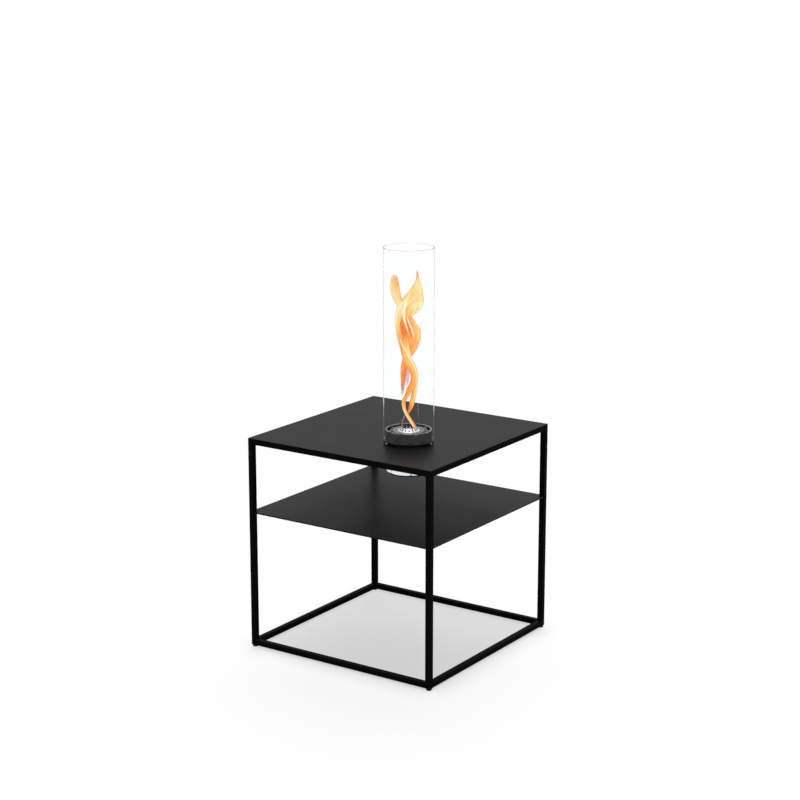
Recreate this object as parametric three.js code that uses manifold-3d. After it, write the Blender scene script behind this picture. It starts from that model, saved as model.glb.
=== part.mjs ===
// A bioethanol fireplace: a flame tube set in the top of a slim square side table.
// Millimetres, +Z up, the front towards -Y. The origin is on the floor, under the middle of
// the table.

import * as THREE from 'three';
import { mergeVertices } from 'three/addons/utils/BufferGeometryUtils.js';
import Module from 'manifold-3d';

const wasm = await Module();
wasm.setup();

// ---------------------------------------------------------------- driving dimensions

// The table.
const tableWidth = 400;
const tableDepth = 400;
const tableHeight = 403; // floor to the upper face of the tabletop
const tubeSize = 10.5; // square steel tube, coating included
const tubeWall = 1;
const tubeCornerRadius = 0.75;
const tubeBoreCornerRadius = 0.4;
const topSheet = 1;
const shelfDrop = 140; // upper face of the tabletop to upper face of the shelf
const shelfSheet = 2.5;
const shelfInset = 1; // the shelf's edge lies this far inside the tubes' outer faces

// The feet, screwed into plugs in the ends of the legs.
const footHeight = 3.5;
const footRadius = 5;
const footEdge = 0.5;
const studRadius = 2.5;
const studLength = 12;
const plugLength = 14;
const plugClearance = 0.25; // between a plug and the inside of its tube, on each side
const threadClearance = 0.3;

// The place of the burner: its axis stands this far from the right and the front edges.
const burnerFromRight = 140;
const burnerFromFront = 140;
const burnerTurn = 36; // degrees from the front towards the right that the ring's face looks
const holeRadius = 42; // the hole in the tabletop

// The swirl ring. Its heights are above the tabletop.
const airGap = 3; // shadow gap under the flange, where the air goes in
const flangeThickness = 4;
const flangeRadius = 46;
const flangeFootRadius = 45; // the flange tapers down to this
const flangeLip = 1.5; // height of the upright side above the taper
const flangeEdge = 0.5;
const wallRadius = 42;
const wallThickness = 2.5;
const wallTop = 25;
const vaneCount = 10;
const vaneThickness = 1.5;
const vaneSweep = 24; // degrees that a vane turns between its foot and its head
const vaneHeadDrop = 2.5; // heads of the vanes below the top of the wall
const slitWidth = 1.5;
const slitFlare = 1; // what the mouth of a slit gains at the top, on each side
const slitFlareDepth = 2.5;
const footCutHeight = 1; // the cut that runs from the foot of a slit along the flange
const footCutSpan = 19; // degrees
const footCutRise = 0.25; // from the flange up to the cut
const hubThickness = 1.5;
const hubClearance = 0.75; // between the hub and the burner's plate
const hubDrop = 3; // from the flange's upper face down to the foot of the hub
const vaneRise = 1; // from the flange's upper face up to the feet of the vanes
const spacerCount = 3;
const spacerRadius = 1.25;
const spacerGrip = 2.5; // how far a spacer reaches up into the flange
const lugWidth = 8;
const lugThickness = 2.25;
const lugDepth = 9; // the lugs' ends below the tabletop's upper face
const lugClearance = 0.5; // between the edges of a lug and the inside of the pot

// The pot that hangs in the hole.
const potRadius = 40;
const potWall = 1;
const potRimDrop = 1; // rim below the tabletop's upper face
const potDepth = 55; // bottom below the tabletop's upper face
const potCornerRadius = 4;

// The rivets between the pot and the lugs.
const rivetRadius = 1.5;
const rivetHeadRadius = 2.75;
const rivetHeadTopRadius = 2;
const rivetHeadHeight = 0.8;
const rivetTailRadius = 2.25;
const rivetDrop = 5; // axis below the tabletop's upper face
const rivetClearance = 0.3;

// The fuel can and what is in it.
const canRadius = 30.5;
const canWall = 0.75;
const canCornerRadius = 3;
const canRimDrop = 1.25; // rim of the can below the rim of its plate
const woolClearance = 0.3;
const woolTop = 12; // above the tabletop
const woolEdge = 2;

// The dished plate on the can, and the slotted crown in the plate's middle.
const plateTop = 23; // rim above the tabletop
const plateSheet = 0.75;
const plateDish = 1; // middle of the plate below its rim
const plateSkirt = 5;
const plateSkirtClearance = 0.3;
const plateFlatRadius = 20;
const crownBaseRadius = 18.5;
const crownMouthRadius = 12.25;
const crownHeight = 6;
const crownSheet = 1;
const crownLip = 0.5; // height of the upright edge inside the mouth
const crownSkirtRadius = 16.75;
const crownSkirtDepth = 6;
const crownFlange = 1;
const crownFlangeSheet = 0.75;
const crownClearance = 0.5; // between the crown's skirt and the hole in the plate
const crownSlotCount = 15;
const crownSlotWidth = 1.5;
const crownSlotHeight = 4;

// The glass tube.
const glassRadius = 46;
const glassWall = 2;
const glassLength = 350;
const glassEdge = 0.5;

// How finely round things are drawn.
const ringFacets = 54;
const potFacets = 40;
const smallFacets = 12;
const arcSteps = 3;
const weldDistance = 1e-4; // points closer than this are one point

const cutOverrun = 0.5; // how far a cut reaches past the faces that it goes through

// ---------------------------------------------------------------- finishes

const blackCoat = { color: 0x242424, roughness: 0.55, metalness: 0.1 };
const blackRing = { color: 0x2a2a2a, roughness: 0.5, metalness: 0.2 };
const blackPlastic = { color: 0x161616, roughness: 0.7, metalness: 0 };
const zincSteel = { color: 0x9a9ca0, roughness: 0.4, metalness: 1 };
const polishedSteel = { color: 0xd8d8da, roughness: 0.12, metalness: 1 };
const ceramicWool = { color: 0xe8e4da, roughness: 1, metalness: 0 };
const clearGlass = { color: 0xf4f8f8, roughness: 0.02, metalness: 0, transparent: true, opacity: 0.25 };

const fireplace = new THREE.Group();

function addPiece(parent, name, geometry, finish, position = [0, 0, 0], rotation = [0, 0, 0]) {
  const mesh = new THREE.Mesh(geometry, new THREE.MeshStandardMaterial(finish));
  mesh.name = name;
  mesh.position.set(...position);
  mesh.rotation.set(...rotation);
  parent.add(mesh);
  return mesh;
}

// ---------------------------------------------------------------- shapes

const radians = THREE.MathUtils.degToRad;

// A quarter round between two directions, as points of a profile.
function quarterRound(centreR, centreZ, radius, fromDegrees, toDegrees) {
  const points = [];
  for (let step = 0; step <= arcSteps; step += 1) {
    const angle = radians(fromDegrees + ((toDegrees - fromDegrees) * step) / arcSteps);
    points.push([centreR + radius * Math.cos(angle), centreZ + radius * Math.sin(angle)]);
  }
  return points;
}

// Turns a profile of [radius, height] points round Z. The profile runs up the outside.
function turned(profile, facets) {
  const points = profile.map(([radius, height]) => new THREE.Vector2(radius, height));
  return new THREE.LatheGeometry(points, facets).rotateX(Math.PI / 2);
}

function closed(profile) {
  return [...profile, profile[0]];
}

// A deep-drawn cup with a round corner, open at the top.
function cup({ radius, wall, bottom, top, corner, facets }) {
  return turned([
    [0, bottom],
    ...quarterRound(radius - corner, bottom + corner, corner, -90, 0),
    [radius, top],
    [radius - wall, top],
    ...quarterRound(radius - corner, bottom + corner, corner - wall, 0, -90),
    [0, bottom + wall],
  ], facets);
}

function rectangle(halfX, halfY) {
  const corners = [[-halfX, -halfY], [halfX, -halfY], [halfX, halfY], [-halfX, halfY]];
  return new THREE.Shape(corners.map(([x, y]) => new THREE.Vector2(x, y)));
}

function roundedSquare(path, size, radius) {
  const half = size / 2;
  const flat = half - radius;
  path.moveTo(-flat, -half);
  path.lineTo(flat, -half);
  path.absarc(flat, -flat, radius, -Math.PI / 2, 0, false);
  path.lineTo(half, flat);
  path.absarc(flat, flat, radius, 0, Math.PI / 2, false);
  path.lineTo(-flat, half);
  path.absarc(-flat, flat, radius, Math.PI / 2, Math.PI, false);
  path.lineTo(-half, -flat);
  path.absarc(-flat, -flat, radius, Math.PI, Math.PI * 1.5, false);
  return path;
}

// A square tube along +Z, open at both ends, with rounded edges inside and out.
function squareTube(length) {
  const section = roundedSquare(new THREE.Shape(), tubeSize, tubeCornerRadius);
  const bore = tubeSize - 2 * tubeWall;
  section.holes.push(roundedSquare(new THREE.Path(), bore, tubeBoreCornerRadius));
  return new THREE.ExtrudeGeometry(section, { depth: length, bevelEnabled: false, curveSegments: 1 });
}

// A blade or a slot that climbs round the axis: at each height its section is a short bar
// between two radii, turned a little further.
function climbingBar({ innerRadius, outerRadius, heights, angleAt, halfWidthAt }) {
  const section = [[innerRadius, -1], [outerRadius, -1], [outerRadius, 1], [innerRadius, 1]];
  const positions = [];
  for (const height of heights) {
    for (const [radius, side] of section) {
      const angle = angleAt(height) + (side * halfWidthAt(height)) / radius;
      positions.push(radius * Math.cos(angle), radius * Math.sin(angle), height);
    }
  }
  const last = (heights.length - 1) * 4;
  const faces = [0, 2, 1, 0, 3, 2, last, last + 1, last + 2, last, last + 2, last + 3];
  for (let base = 0; base < last; base += 4) {
    for (let side = 0; side < 4; side += 1) {
      const here = base + side;
      const next = base + ((side + 1) % 4);
      faces.push(here, next, next + 4, here, next + 4, here + 4);
    }
  }
  const geometry = new THREE.BufferGeometry();
  geometry.setAttribute('position', new THREE.Float32BufferAttribute(positions, 3));
  geometry.setIndex(faces);
  return geometry;
}

// A solid for the boolean cuts and joins, from a closed geometry.
function solidOf(geometry) {
  const bare = geometry.clone();
  bare.deleteAttribute('normal');
  bare.deleteAttribute('uv');
  const merged = mergeVertices(bare, weldDistance);
  const faces = [];
  for (let i = 0; i < merged.index.count; i += 3) {
    const [a, b, c] = [0, 1, 2].map((k) => merged.index.getX(i + k));
    if (a !== b && b !== c && c !== a) {
      faces.push(a, b, c);
    }
  }
  return new wasm.Manifold(new wasm.Mesh({
    numProp: 3,
    vertProperties: new Float32Array(merged.attributes.position.array),
    triVerts: new Uint32Array(faces),
  }));
}

function geometryOf(solid) {
  const mesh = solid.getMesh();
  const geometry = new THREE.BufferGeometry();
  geometry.setAttribute('position', new THREE.BufferAttribute(mesh.vertProperties, 3));
  geometry.setIndex(new THREE.BufferAttribute(mesh.triVerts, 1));
  geometry.computeVertexNormals();
  return geometry;
}

// ---------------------------------------------------------------- the table

const railTop = tableHeight - topSheet;
const legX = tableWidth / 2 - tubeSize / 2;
const legY = tableDepth / 2 - tubeSize / 2;
const tableCorners = [
  ['front_left', -1, -1],
  ['front_right', 1, -1],
  ['back_right', 1, 1],
  ['back_left', -1, 1],
];

function makeLegs() {
  for (const [corner, sideX, sideY] of tableCorners) {
    const place = [sideX * legX, sideY * legY, footHeight];
    addPiece(fireplace, `leg_${corner}`, squareTube(railTop - footHeight), blackCoat, place);
  }
}

// The rails butt against the legs, at the top and at the bottom of the frame.
function makeRails() {
  const lengthX = tableWidth - 2 * tubeSize;
  const lengthY = tableDepth - 2 * tubeSize;
  const levels = [['top', railTop - tubeSize / 2], ['bottom', footHeight + tubeSize / 2]];
  for (const [level, height] of levels) {
    for (const [side, direction] of [['front', -1], ['back', 1]]) {
      const place = [-lengthX / 2, direction * legY, height];
      const turn = [0, Math.PI / 2, 0];
      addPiece(fireplace, `${level}_rail_${side}`, squareTube(lengthX), blackCoat, place, turn);
    }
    for (const [side, direction] of [['left', -1], ['right', 1]]) {
      const place = [direction * legX, lengthY / 2, height];
      const turn = [Math.PI / 2, 0, 0];
      addPiece(fireplace, `${level}_rail_${side}`, squareTube(lengthY), blackCoat, place, turn);
    }
  }
}

const burnerX = tableWidth / 2 - burnerFromRight;
const burnerY = burnerFromFront - tableDepth / 2;

function makeTabletop() {
  const sheet = rectangle(tableWidth / 2, tableDepth / 2);
  const hole = new THREE.Path();
  hole.absarc(burnerX, burnerY, holeRadius, 0, Math.PI * 2, false);
  sheet.holes.push(hole);
  const geometry = new THREE.ExtrudeGeometry(sheet, {
    depth: topSheet,
    bevelEnabled: false,
    curveSegments: potFacets / 2,
  });
  addPiece(fireplace, 'tabletop', geometry, blackCoat, [0, 0, railTop]);
}

// The shelf is welded between the legs, which stand in notches in its corners.
function makeShelf() {
  const x = tableWidth / 2 - shelfInset;
  const y = tableDepth / 2 - shelfInset;
  const notchX = tableWidth / 2 - tubeSize;
  const notchY = tableDepth / 2 - tubeSize;
  const outline = new THREE.Shape([
    [-notchX, -y], [notchX, -y], [notchX, -notchY], [x, -notchY],
    [x, notchY], [notchX, notchY], [notchX, y], [-notchX, y],
    [-notchX, notchY], [-x, notchY], [-x, -notchY], [-notchX, -notchY],
  ].map(([px, py]) => new THREE.Vector2(px, py)));
  const geometry = new THREE.ExtrudeGeometry(outline, { depth: shelfSheet, bevelEnabled: false });
  const height = tableHeight - shelfDrop - shelfSheet;
  addPiece(fireplace, 'shelf', geometry, blackCoat, [0, 0, height]);
}

// A threaded plug in each leg, and a round foot on a stud in it. The foot rests against
// the leg's end, and screws out of it to level the table.
function makeFeet() {
  const plugHalf = tubeSize / 2 - tubeWall - plugClearance;
  const section = rectangle(plugHalf, plugHalf);
  const thread = new THREE.Path();
  thread.absarc(0, 0, studRadius + threadClearance, 0, Math.PI * 2, false);
  section.holes.push(thread);
  const footProfile = [
    [0, 0],
    [footRadius - footEdge, 0],
    [footRadius, footEdge],
    [footRadius, footHeight - footEdge],
    [footRadius - footEdge, footHeight],
    [studRadius, footHeight],
    [studRadius, footHeight + studLength - footEdge],
    [studRadius - footEdge, footHeight + studLength],
    [0, footHeight + studLength],
  ];
  for (const [corner, sideX, sideY] of tableCorners) {
    const [x, y] = [sideX * legX, sideY * legY];
    const plug = new THREE.ExtrudeGeometry(section, {
      depth: plugLength,
      bevelEnabled: false,
      curveSegments: smallFacets / 2,
    });
    addPiece(fireplace, `foot_plug_${corner}`, plug, zincSteel, [x, y, footHeight]);
    const foot = turned(footProfile, smallFacets);
    addPiece(fireplace, `levelling_foot_${corner}`, foot, blackPlastic, [x, y, 0]);
  }
}

// ---------------------------------------------------------------- the burner

// Its frame stands on the burner's axis, level with the tabletop's upper face. Zero degrees
// there is the face of the ring.
const burner = new THREE.Group();
burner.position.set(burnerX, burnerY, tableHeight);
burner.rotation.z = radians(burnerTurn - 90);
fireplace.add(burner);

const flangeTop = airGap + flangeThickness;
const wallInside = wallRadius - wallThickness;
const wallMiddle = wallRadius - wallThickness / 2;
const plateRadius = canRadius + plateSkirtClearance + plateSheet;
const hubInside = plateRadius + hubClearance;
const potInside = potRadius - potWall;
const lugOutside = Math.sqrt((potInside - lugClearance) ** 2 - (lugWidth / 2) ** 2);
const lugInside = lugOutside - lugThickness;
const lugPitch = 360 / spacerCount;
const lugAngles = Array.from({ length: spacerCount }, (_, i) => radians((i + 0.5) * lugPitch));
const vanePitch = 360 / vaneCount;

function ringBody() {
  return solidOf(turned(closed([
    [wallInside, airGap],
    [flangeFootRadius, airGap],
    [flangeRadius, flangeTop - flangeLip],
    [flangeRadius, flangeTop - flangeEdge],
    [flangeRadius - flangeEdge, flangeTop],
    [wallRadius, flangeTop],
    [wallRadius, wallTop - flangeEdge],
    [wallRadius - flangeEdge, wallTop],
    [wallInside + flangeEdge, wallTop],
    [wallInside, wallTop - flangeEdge],
  ]), ringFacets));
}

function ringHub() {
  const bottom = flangeTop - hubDrop;
  const top = wallTop - vaneHeadDrop;
  return solidOf(turned(closed([
    [hubInside, bottom],
    [hubInside + hubThickness, bottom],
    [hubInside + hubThickness, top],
    [hubInside, top],
  ]), ringFacets));
}

function evenSteps(from, to, count) {
  return Array.from({ length: count + 1 }, (_, i) => from + ((to - from) * i) / count);
}

// The angle of the n-th slit at a height: the slits lean, and their mouths at the top lie
// half a pitch to each side of the ring's face.
function slitAngle(index, height) {
  const share = (wallTop - height) / (wallTop - flangeTop);
  return radians((index + 0.5) * vanePitch - vaneSweep * share);
}

// Guide vanes between the hub and the wall. Each one lies along the lower side of a slit.
function ringVane(index) {
  const offset = (slitWidth / 2 + vaneThickness / 2) / wallInside;
  return solidOf(climbingBar({
    innerRadius: hubInside + hubThickness / 2,
    outerRadius: wallMiddle,
    heights: evenSteps(flangeTop + vaneRise, wallTop - vaneHeadDrop - flangeEdge, arcSteps),
    angleAt: (height) => slitAngle(index, height) + offset,
    halfWidthAt: () => vaneThickness / 2,
  }));
}

// A leaning slit through the wall, wider at its mouth. It starts in the foot cut.
function ringSlit(index) {
  const flareStart = wallTop - slitFlareDepth;
  const foot = flangeTop + footCutRise + footCutHeight / 2;
  const flareAt = (height) => slitFlare * Math.max(0, (height - flareStart) / slitFlareDepth);
  return solidOf(climbingBar({
    innerRadius: wallInside - cutOverrun,
    outerRadius: wallRadius + cutOverrun,
    heights: [...evenSteps(foot, flareStart, arcSteps), wallTop, wallTop + cutOverrun],
    angleAt: (height) => slitAngle(index, height),
    halfWidthAt: (height) => slitWidth / 2 + flareAt(height),
  }));
}

// The cut along the flange, from the foot of a slit. It frees the lower corner of the wall
// piece above it, which stands there as a fin.
function ringFootCut(index) {
  const start = slitAngle(index, flangeTop);
  const end = start + radians(footCutSpan);
  const sector = new THREE.Shape();
  sector.absarc(0, 0, wallRadius + cutOverrun, start, end, false);
  sector.absarc(0, 0, wallInside - cutOverrun, end, start, true);
  const geometry = new THREE.ExtrudeGeometry(sector, {
    depth: footCutHeight,
    bevelEnabled: false,
    curveSegments: arcSteps,
  });
  return solidOf(geometry.translate(0, 0, flangeTop + footCutRise));
}

// A lug reaches from the ring's foot down inside the pot.
function ringLug(angle) {
  const armHeight = airGap + flangeThickness / 2;
  const arm = new THREE.BoxGeometry(wallMiddle - lugInside, lugWidth, flangeThickness);
  arm.translate((wallMiddle + lugInside) / 2, 0, armHeight);
  const drop = new THREE.BoxGeometry(lugThickness, lugWidth, armHeight + lugDepth);
  drop.translate(lugInside + lugThickness / 2, 0, (armHeight - lugDepth) / 2);
  return solidOf(arm.rotateZ(angle)).add(solidOf(drop.rotateZ(angle)));
}

// A spacer under the flange stands on the tabletop.
function ringSpacer(angle) {
  const height = airGap + spacerGrip;
  const radius = (holeRadius + flangeFootRadius) / 2;
  const spacer = new THREE.CylinderGeometry(spacerRadius, spacerRadius, height, smallFacets);
  spacer.rotateX(Math.PI / 2).translate(radius, 0, height / 2);
  return solidOf(spacer.rotateZ(angle));
}

// A round hole along a radius, through a lug and the pot's wall, for a rivet.
function rivetHole(angle) {
  const radius = rivetRadius + rivetClearance;
  const length = potRadius - lugInside + 2 * cutOverrun;
  const drill = new THREE.CylinderGeometry(radius, radius, length, smallFacets);
  drill.rotateZ(Math.PI / 2).translate((potRadius + lugInside) / 2, 0, -rivetDrop);
  return solidOf(drill.rotateZ(angle));
}

function makeSwirlRing() {
  let ring = ringBody().add(ringHub());
  for (let index = 0; index < vaneCount; index += 1) {
    ring = ring.add(ringVane(index));
  }
  for (let index = 0; index < vaneCount; index += 1) {
    ring = ring.subtract(ringSlit(index)).subtract(ringFootCut(index));
  }
  for (const angle of lugAngles) {
    ring = ring.add(ringLug(angle)).add(ringSpacer(angle)).subtract(rivetHole(angle));
  }
  addPiece(burner, 'swirl_ring', geometryOf(ring), blackRing);
}

function makePot() {
  let pot = solidOf(cup({
    radius: potRadius,
    wall: potWall,
    bottom: -potDepth,
    top: -potRimDrop,
    corner: potCornerRadius,
    facets: potFacets,
  }));
  for (const angle of lugAngles) {
    pot = pot.subtract(rivetHole(angle));
  }
  addPiece(burner, 'burner_pot', geometryOf(pot), polishedSteel);
}

// A rivet has a low head outside the pot and a closing head inside the lug.
function makeRivets() {
  const outerFace = potRadius + rivetClearance;
  const innerFace = lugInside - rivetClearance;
  const profile = [
    [0, innerFace - rivetHeadHeight],
    [rivetTailRadius, innerFace - rivetHeadHeight],
    [rivetTailRadius, innerFace],
    [rivetRadius, innerFace],
    [rivetRadius, outerFace],
    [rivetHeadRadius, outerFace],
    [rivetHeadTopRadius, outerFace + rivetHeadHeight],
    [0, outerFace + rivetHeadHeight],
  ];
  lugAngles.forEach((angle, index) => {
    const rivet = turned(profile, smallFacets).rotateY(Math.PI / 2).rotateZ(angle);
    addPiece(burner, `pot_rivet_${index + 1}`, rivet, zincSteel, [0, 0, -rivetDrop]);
  });
}

// ---------------------------------------------------------------- the fuel can

const canBottom = -potDepth + potWall;

function makeCan() {
  const can = cup({
    radius: canRadius,
    wall: canWall,
    bottom: canBottom,
    top: plateTop - canRimDrop,
    corner: canCornerRadius,
    facets: potFacets,
  });
  addPiece(burner, 'fuel_can', can, polishedSteel);
  const woolRadius = canRadius - canWall - woolClearance;
  const woolBottom = canBottom + canWall + woolClearance;
  const wool = turned([
    [0, woolBottom],
    ...quarterRound(woolRadius - canCornerRadius, woolBottom + canCornerRadius, canCornerRadius, -90, 0),
    ...quarterRound(woolRadius - woolEdge, woolTop - woolEdge, woolEdge, 0, 90),
    [0, woolTop],
  ], potFacets);
  addPiece(burner, 'ceramic_wool', wool, ceramicWool);
}

// The plate sinks a little from its rim to the flat round the crown.
function makePlate() {
  const flat = plateTop - plateDish;
  const skirtInside = plateRadius - plateSheet;
  const hole = crownSkirtRadius + crownClearance;
  const plate = turned(closed([
    [hole, flat - plateSheet],
    [plateFlatRadius, flat - plateSheet],
    [skirtInside, plateTop - plateSheet],
    [skirtInside, plateTop - plateSkirt],
    [plateRadius, plateTop - plateSkirt],
    ...quarterRound(plateRadius - plateSheet, plateTop - plateSheet, plateSheet, 0, 90),
    [plateFlatRadius, flat],
    [hole, flat],
  ]), potFacets);
  addPiece(burner, 'can_plate', plate, polishedSteel);
}

// The crown is a slotted cone on a small flange, with a skirt through the plate.
function makeCrown() {
  const seat = plateTop - plateDish;
  const flangeFace = seat + crownFlangeSheet;
  const mouth = seat + crownHeight;
  const skirtInside = crownSkirtRadius - crownSheet;
  const mouthInside = crownMouthRadius - crownSheet;
  const coneSlope = (mouth - flangeFace) / (crownBaseRadius - crownMouthRadius);
  let crown = solidOf(turned(closed([
    [skirtInside, seat - crownSkirtDepth],
    [crownSkirtRadius, seat - crownSkirtDepth],
    [crownSkirtRadius, seat],
    [crownBaseRadius + crownFlange, seat],
    [crownBaseRadius + crownFlange, flangeFace],
    [crownBaseRadius, flangeFace],
    [crownMouthRadius, mouth],
    [mouthInside, mouth],
    [mouthInside, mouth - crownLip],
    [skirtInside, mouth - crownLip - (skirtInside - mouthInside) * coneSlope],
  ]), potFacets));
  const slotReach = crownBaseRadius - crownMouthRadius + 2 * (crownSheet + cutOverrun);
  for (let index = 0; index < crownSlotCount; index += 1) {
    const slot = new THREE.BoxGeometry(slotReach, crownSlotWidth, crownSlotHeight);
    slot.translate((crownBaseRadius + crownMouthRadius) / 2, 0, (flangeFace + mouth) / 2);
    crown = crown.subtract(solidOf(slot.rotateZ((2 * Math.PI * index) / crownSlotCount)));
  }
  addPiece(burner, 'flame_crown', geometryOf(crown), polishedSteel);
}

// ---------------------------------------------------------------- the glass

// A plain tube with fire-polished ends. It stands on the flange, round the wall.
function makeGlass() {
  const inside = glassRadius - glassWall;
  const bottom = flangeTop;
  const top = flangeTop + glassLength;
  const glass = turned(closed([
    ...quarterRound(inside + glassEdge, bottom + glassEdge, glassEdge, 180, 270),
    ...quarterRound(glassRadius - glassEdge, bottom + glassEdge, glassEdge, -90, 0),
    ...quarterRound(glassRadius - glassEdge, top - glassEdge, glassEdge, 0, 90),
    ...quarterRound(inside + glassEdge, top - glassEdge, glassEdge, 90, 180),
  ]), potFacets);
  addPiece(burner, 'glass_tube', glass, clearGlass);
}

makeLegs();
makeRails();
makeTabletop();
makeShelf();
makeFeet();
makeSwirlRing();
makePot();
makeRivets();
makeCan();
makePlate();
makeCrown();
makeGlass();

export default fireplace;
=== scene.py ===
"""A bioethanol fireplace: a slim square side table with a flame tube set in its top."""

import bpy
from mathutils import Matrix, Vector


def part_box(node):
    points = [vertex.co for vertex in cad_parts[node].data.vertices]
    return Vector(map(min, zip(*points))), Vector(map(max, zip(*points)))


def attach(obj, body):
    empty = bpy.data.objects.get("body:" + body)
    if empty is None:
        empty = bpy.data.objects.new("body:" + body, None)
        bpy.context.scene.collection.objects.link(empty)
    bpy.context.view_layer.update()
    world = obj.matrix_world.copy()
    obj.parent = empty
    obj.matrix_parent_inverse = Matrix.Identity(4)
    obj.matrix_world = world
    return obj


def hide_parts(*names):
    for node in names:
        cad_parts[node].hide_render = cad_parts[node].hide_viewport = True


bl_info = {
    "name": "Flame Tube Side Table",
    "version": (1, 0, 0),
    "blender": (4, 5, 0),
    "location": "3D View > Sidebar > Fireplace",
    "description": "Builds a bioethanol fireplace with its finishes, its flame and its studio",
    "category": "Add Mesh",
}

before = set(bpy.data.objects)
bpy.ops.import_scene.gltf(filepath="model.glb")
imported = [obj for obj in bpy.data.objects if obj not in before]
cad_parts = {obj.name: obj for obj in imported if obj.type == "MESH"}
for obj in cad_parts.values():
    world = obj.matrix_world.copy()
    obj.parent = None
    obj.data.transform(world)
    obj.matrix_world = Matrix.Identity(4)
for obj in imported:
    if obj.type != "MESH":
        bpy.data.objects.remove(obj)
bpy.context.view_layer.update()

import math

import bmesh
import bpy
from bpy.props import FloatProperty, FloatVectorProperty, IntProperty, PointerProperty
from mathutils import Matrix, Vector, noise

MM = 0.001
CORNERS = ("front_left", "front_right", "back_right", "back_left")
SIDES = ("front", "back", "left", "right")

GLASS_LOW, GLASS_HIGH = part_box("glass_tube")
TABLE_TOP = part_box("tabletop")[1].z
BURNER_AXIS = Vector(((GLASS_LOW.x + GLASS_HIGH.x) / 2, (GLASS_LOW.y + GLASS_HIGH.y) / 2,
                      TABLE_TOP))

# Small parts of the burner that the panel leaves alone.
LUG_WIDTH, LUG_DEPTH, LUG_SHEET, LUG_GAP = 8 * MM, 9 * MM, 2.25 * MM, 0.5 * MM
SPACER_CIRCLE, SPACER_RADIUS, SPACER_HEIGHT = 43.5 * MM, 1.25 * MM, 5.5 * MM
RIVET_SHANK, RIVET_LEVEL, RIVET_SEAT = 1.5 * MM, -5 * MM, 0.3 * MM
PLATE_SHEET = 0.75 * MM

# The rivets' closing and domed heads in millimetres: radius, and height over the seat.
RIVET_CLOSING = ((0, -0.8), (2.1, -0.8), (2.25, -0.6), (2.25, 0))
RIVET_DOME = ((2.75, 0), (2.6, 0.3), (2.1, 0.6), (1.2, 0.77), (0, 0.8))


# ---------------------------------------------------------------- sizes and colours


def length(name, description, default):
    """A length, whose default is given in millimetres."""
    return FloatProperty(name=name, description=description, default=default * MM, unit="LENGTH")


def degrees(name, description, default):
    """An angle, whose default is given in degrees."""
    angle = math.radians(default)
    return FloatProperty(name=name, description=description, default=angle, unit="ROTATION")


def share(name, description, default):
    return FloatProperty(name=name, description=description, default=default, subtype="FACTOR")


def colour(name, description, default):
    return FloatVectorProperty(name=name, description=description, default=default,
                               subtype="COLOR", size=3, min=0.0, max=1.0)


class TableSizes(bpy.types.PropertyGroup):
    """What the frame of solids leaves open on the table."""

    tube_wall: length("Tube wall", "Thickness of the square tube's steel", 1.0)
    tube_edge: length("Tube edge", "Radius of the square tube's long edges", 0.75)
    sheet_edge: length("Sheet edge", "Rounding of the sheets' edges", 0.22)
    hole_radius: length("Hole", "Radius of the burner's hole in the tabletop", 42)
    foot_edge: length("Foot edge", "Rounding of the feet", 0.6)
    stud_radius: length("Stud", "Radius of the feet's studs over the thread", 2.5)
    thread_pitch: length("Thread pitch", "Rise of the studs' thread in one turn", 0.8)


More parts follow.
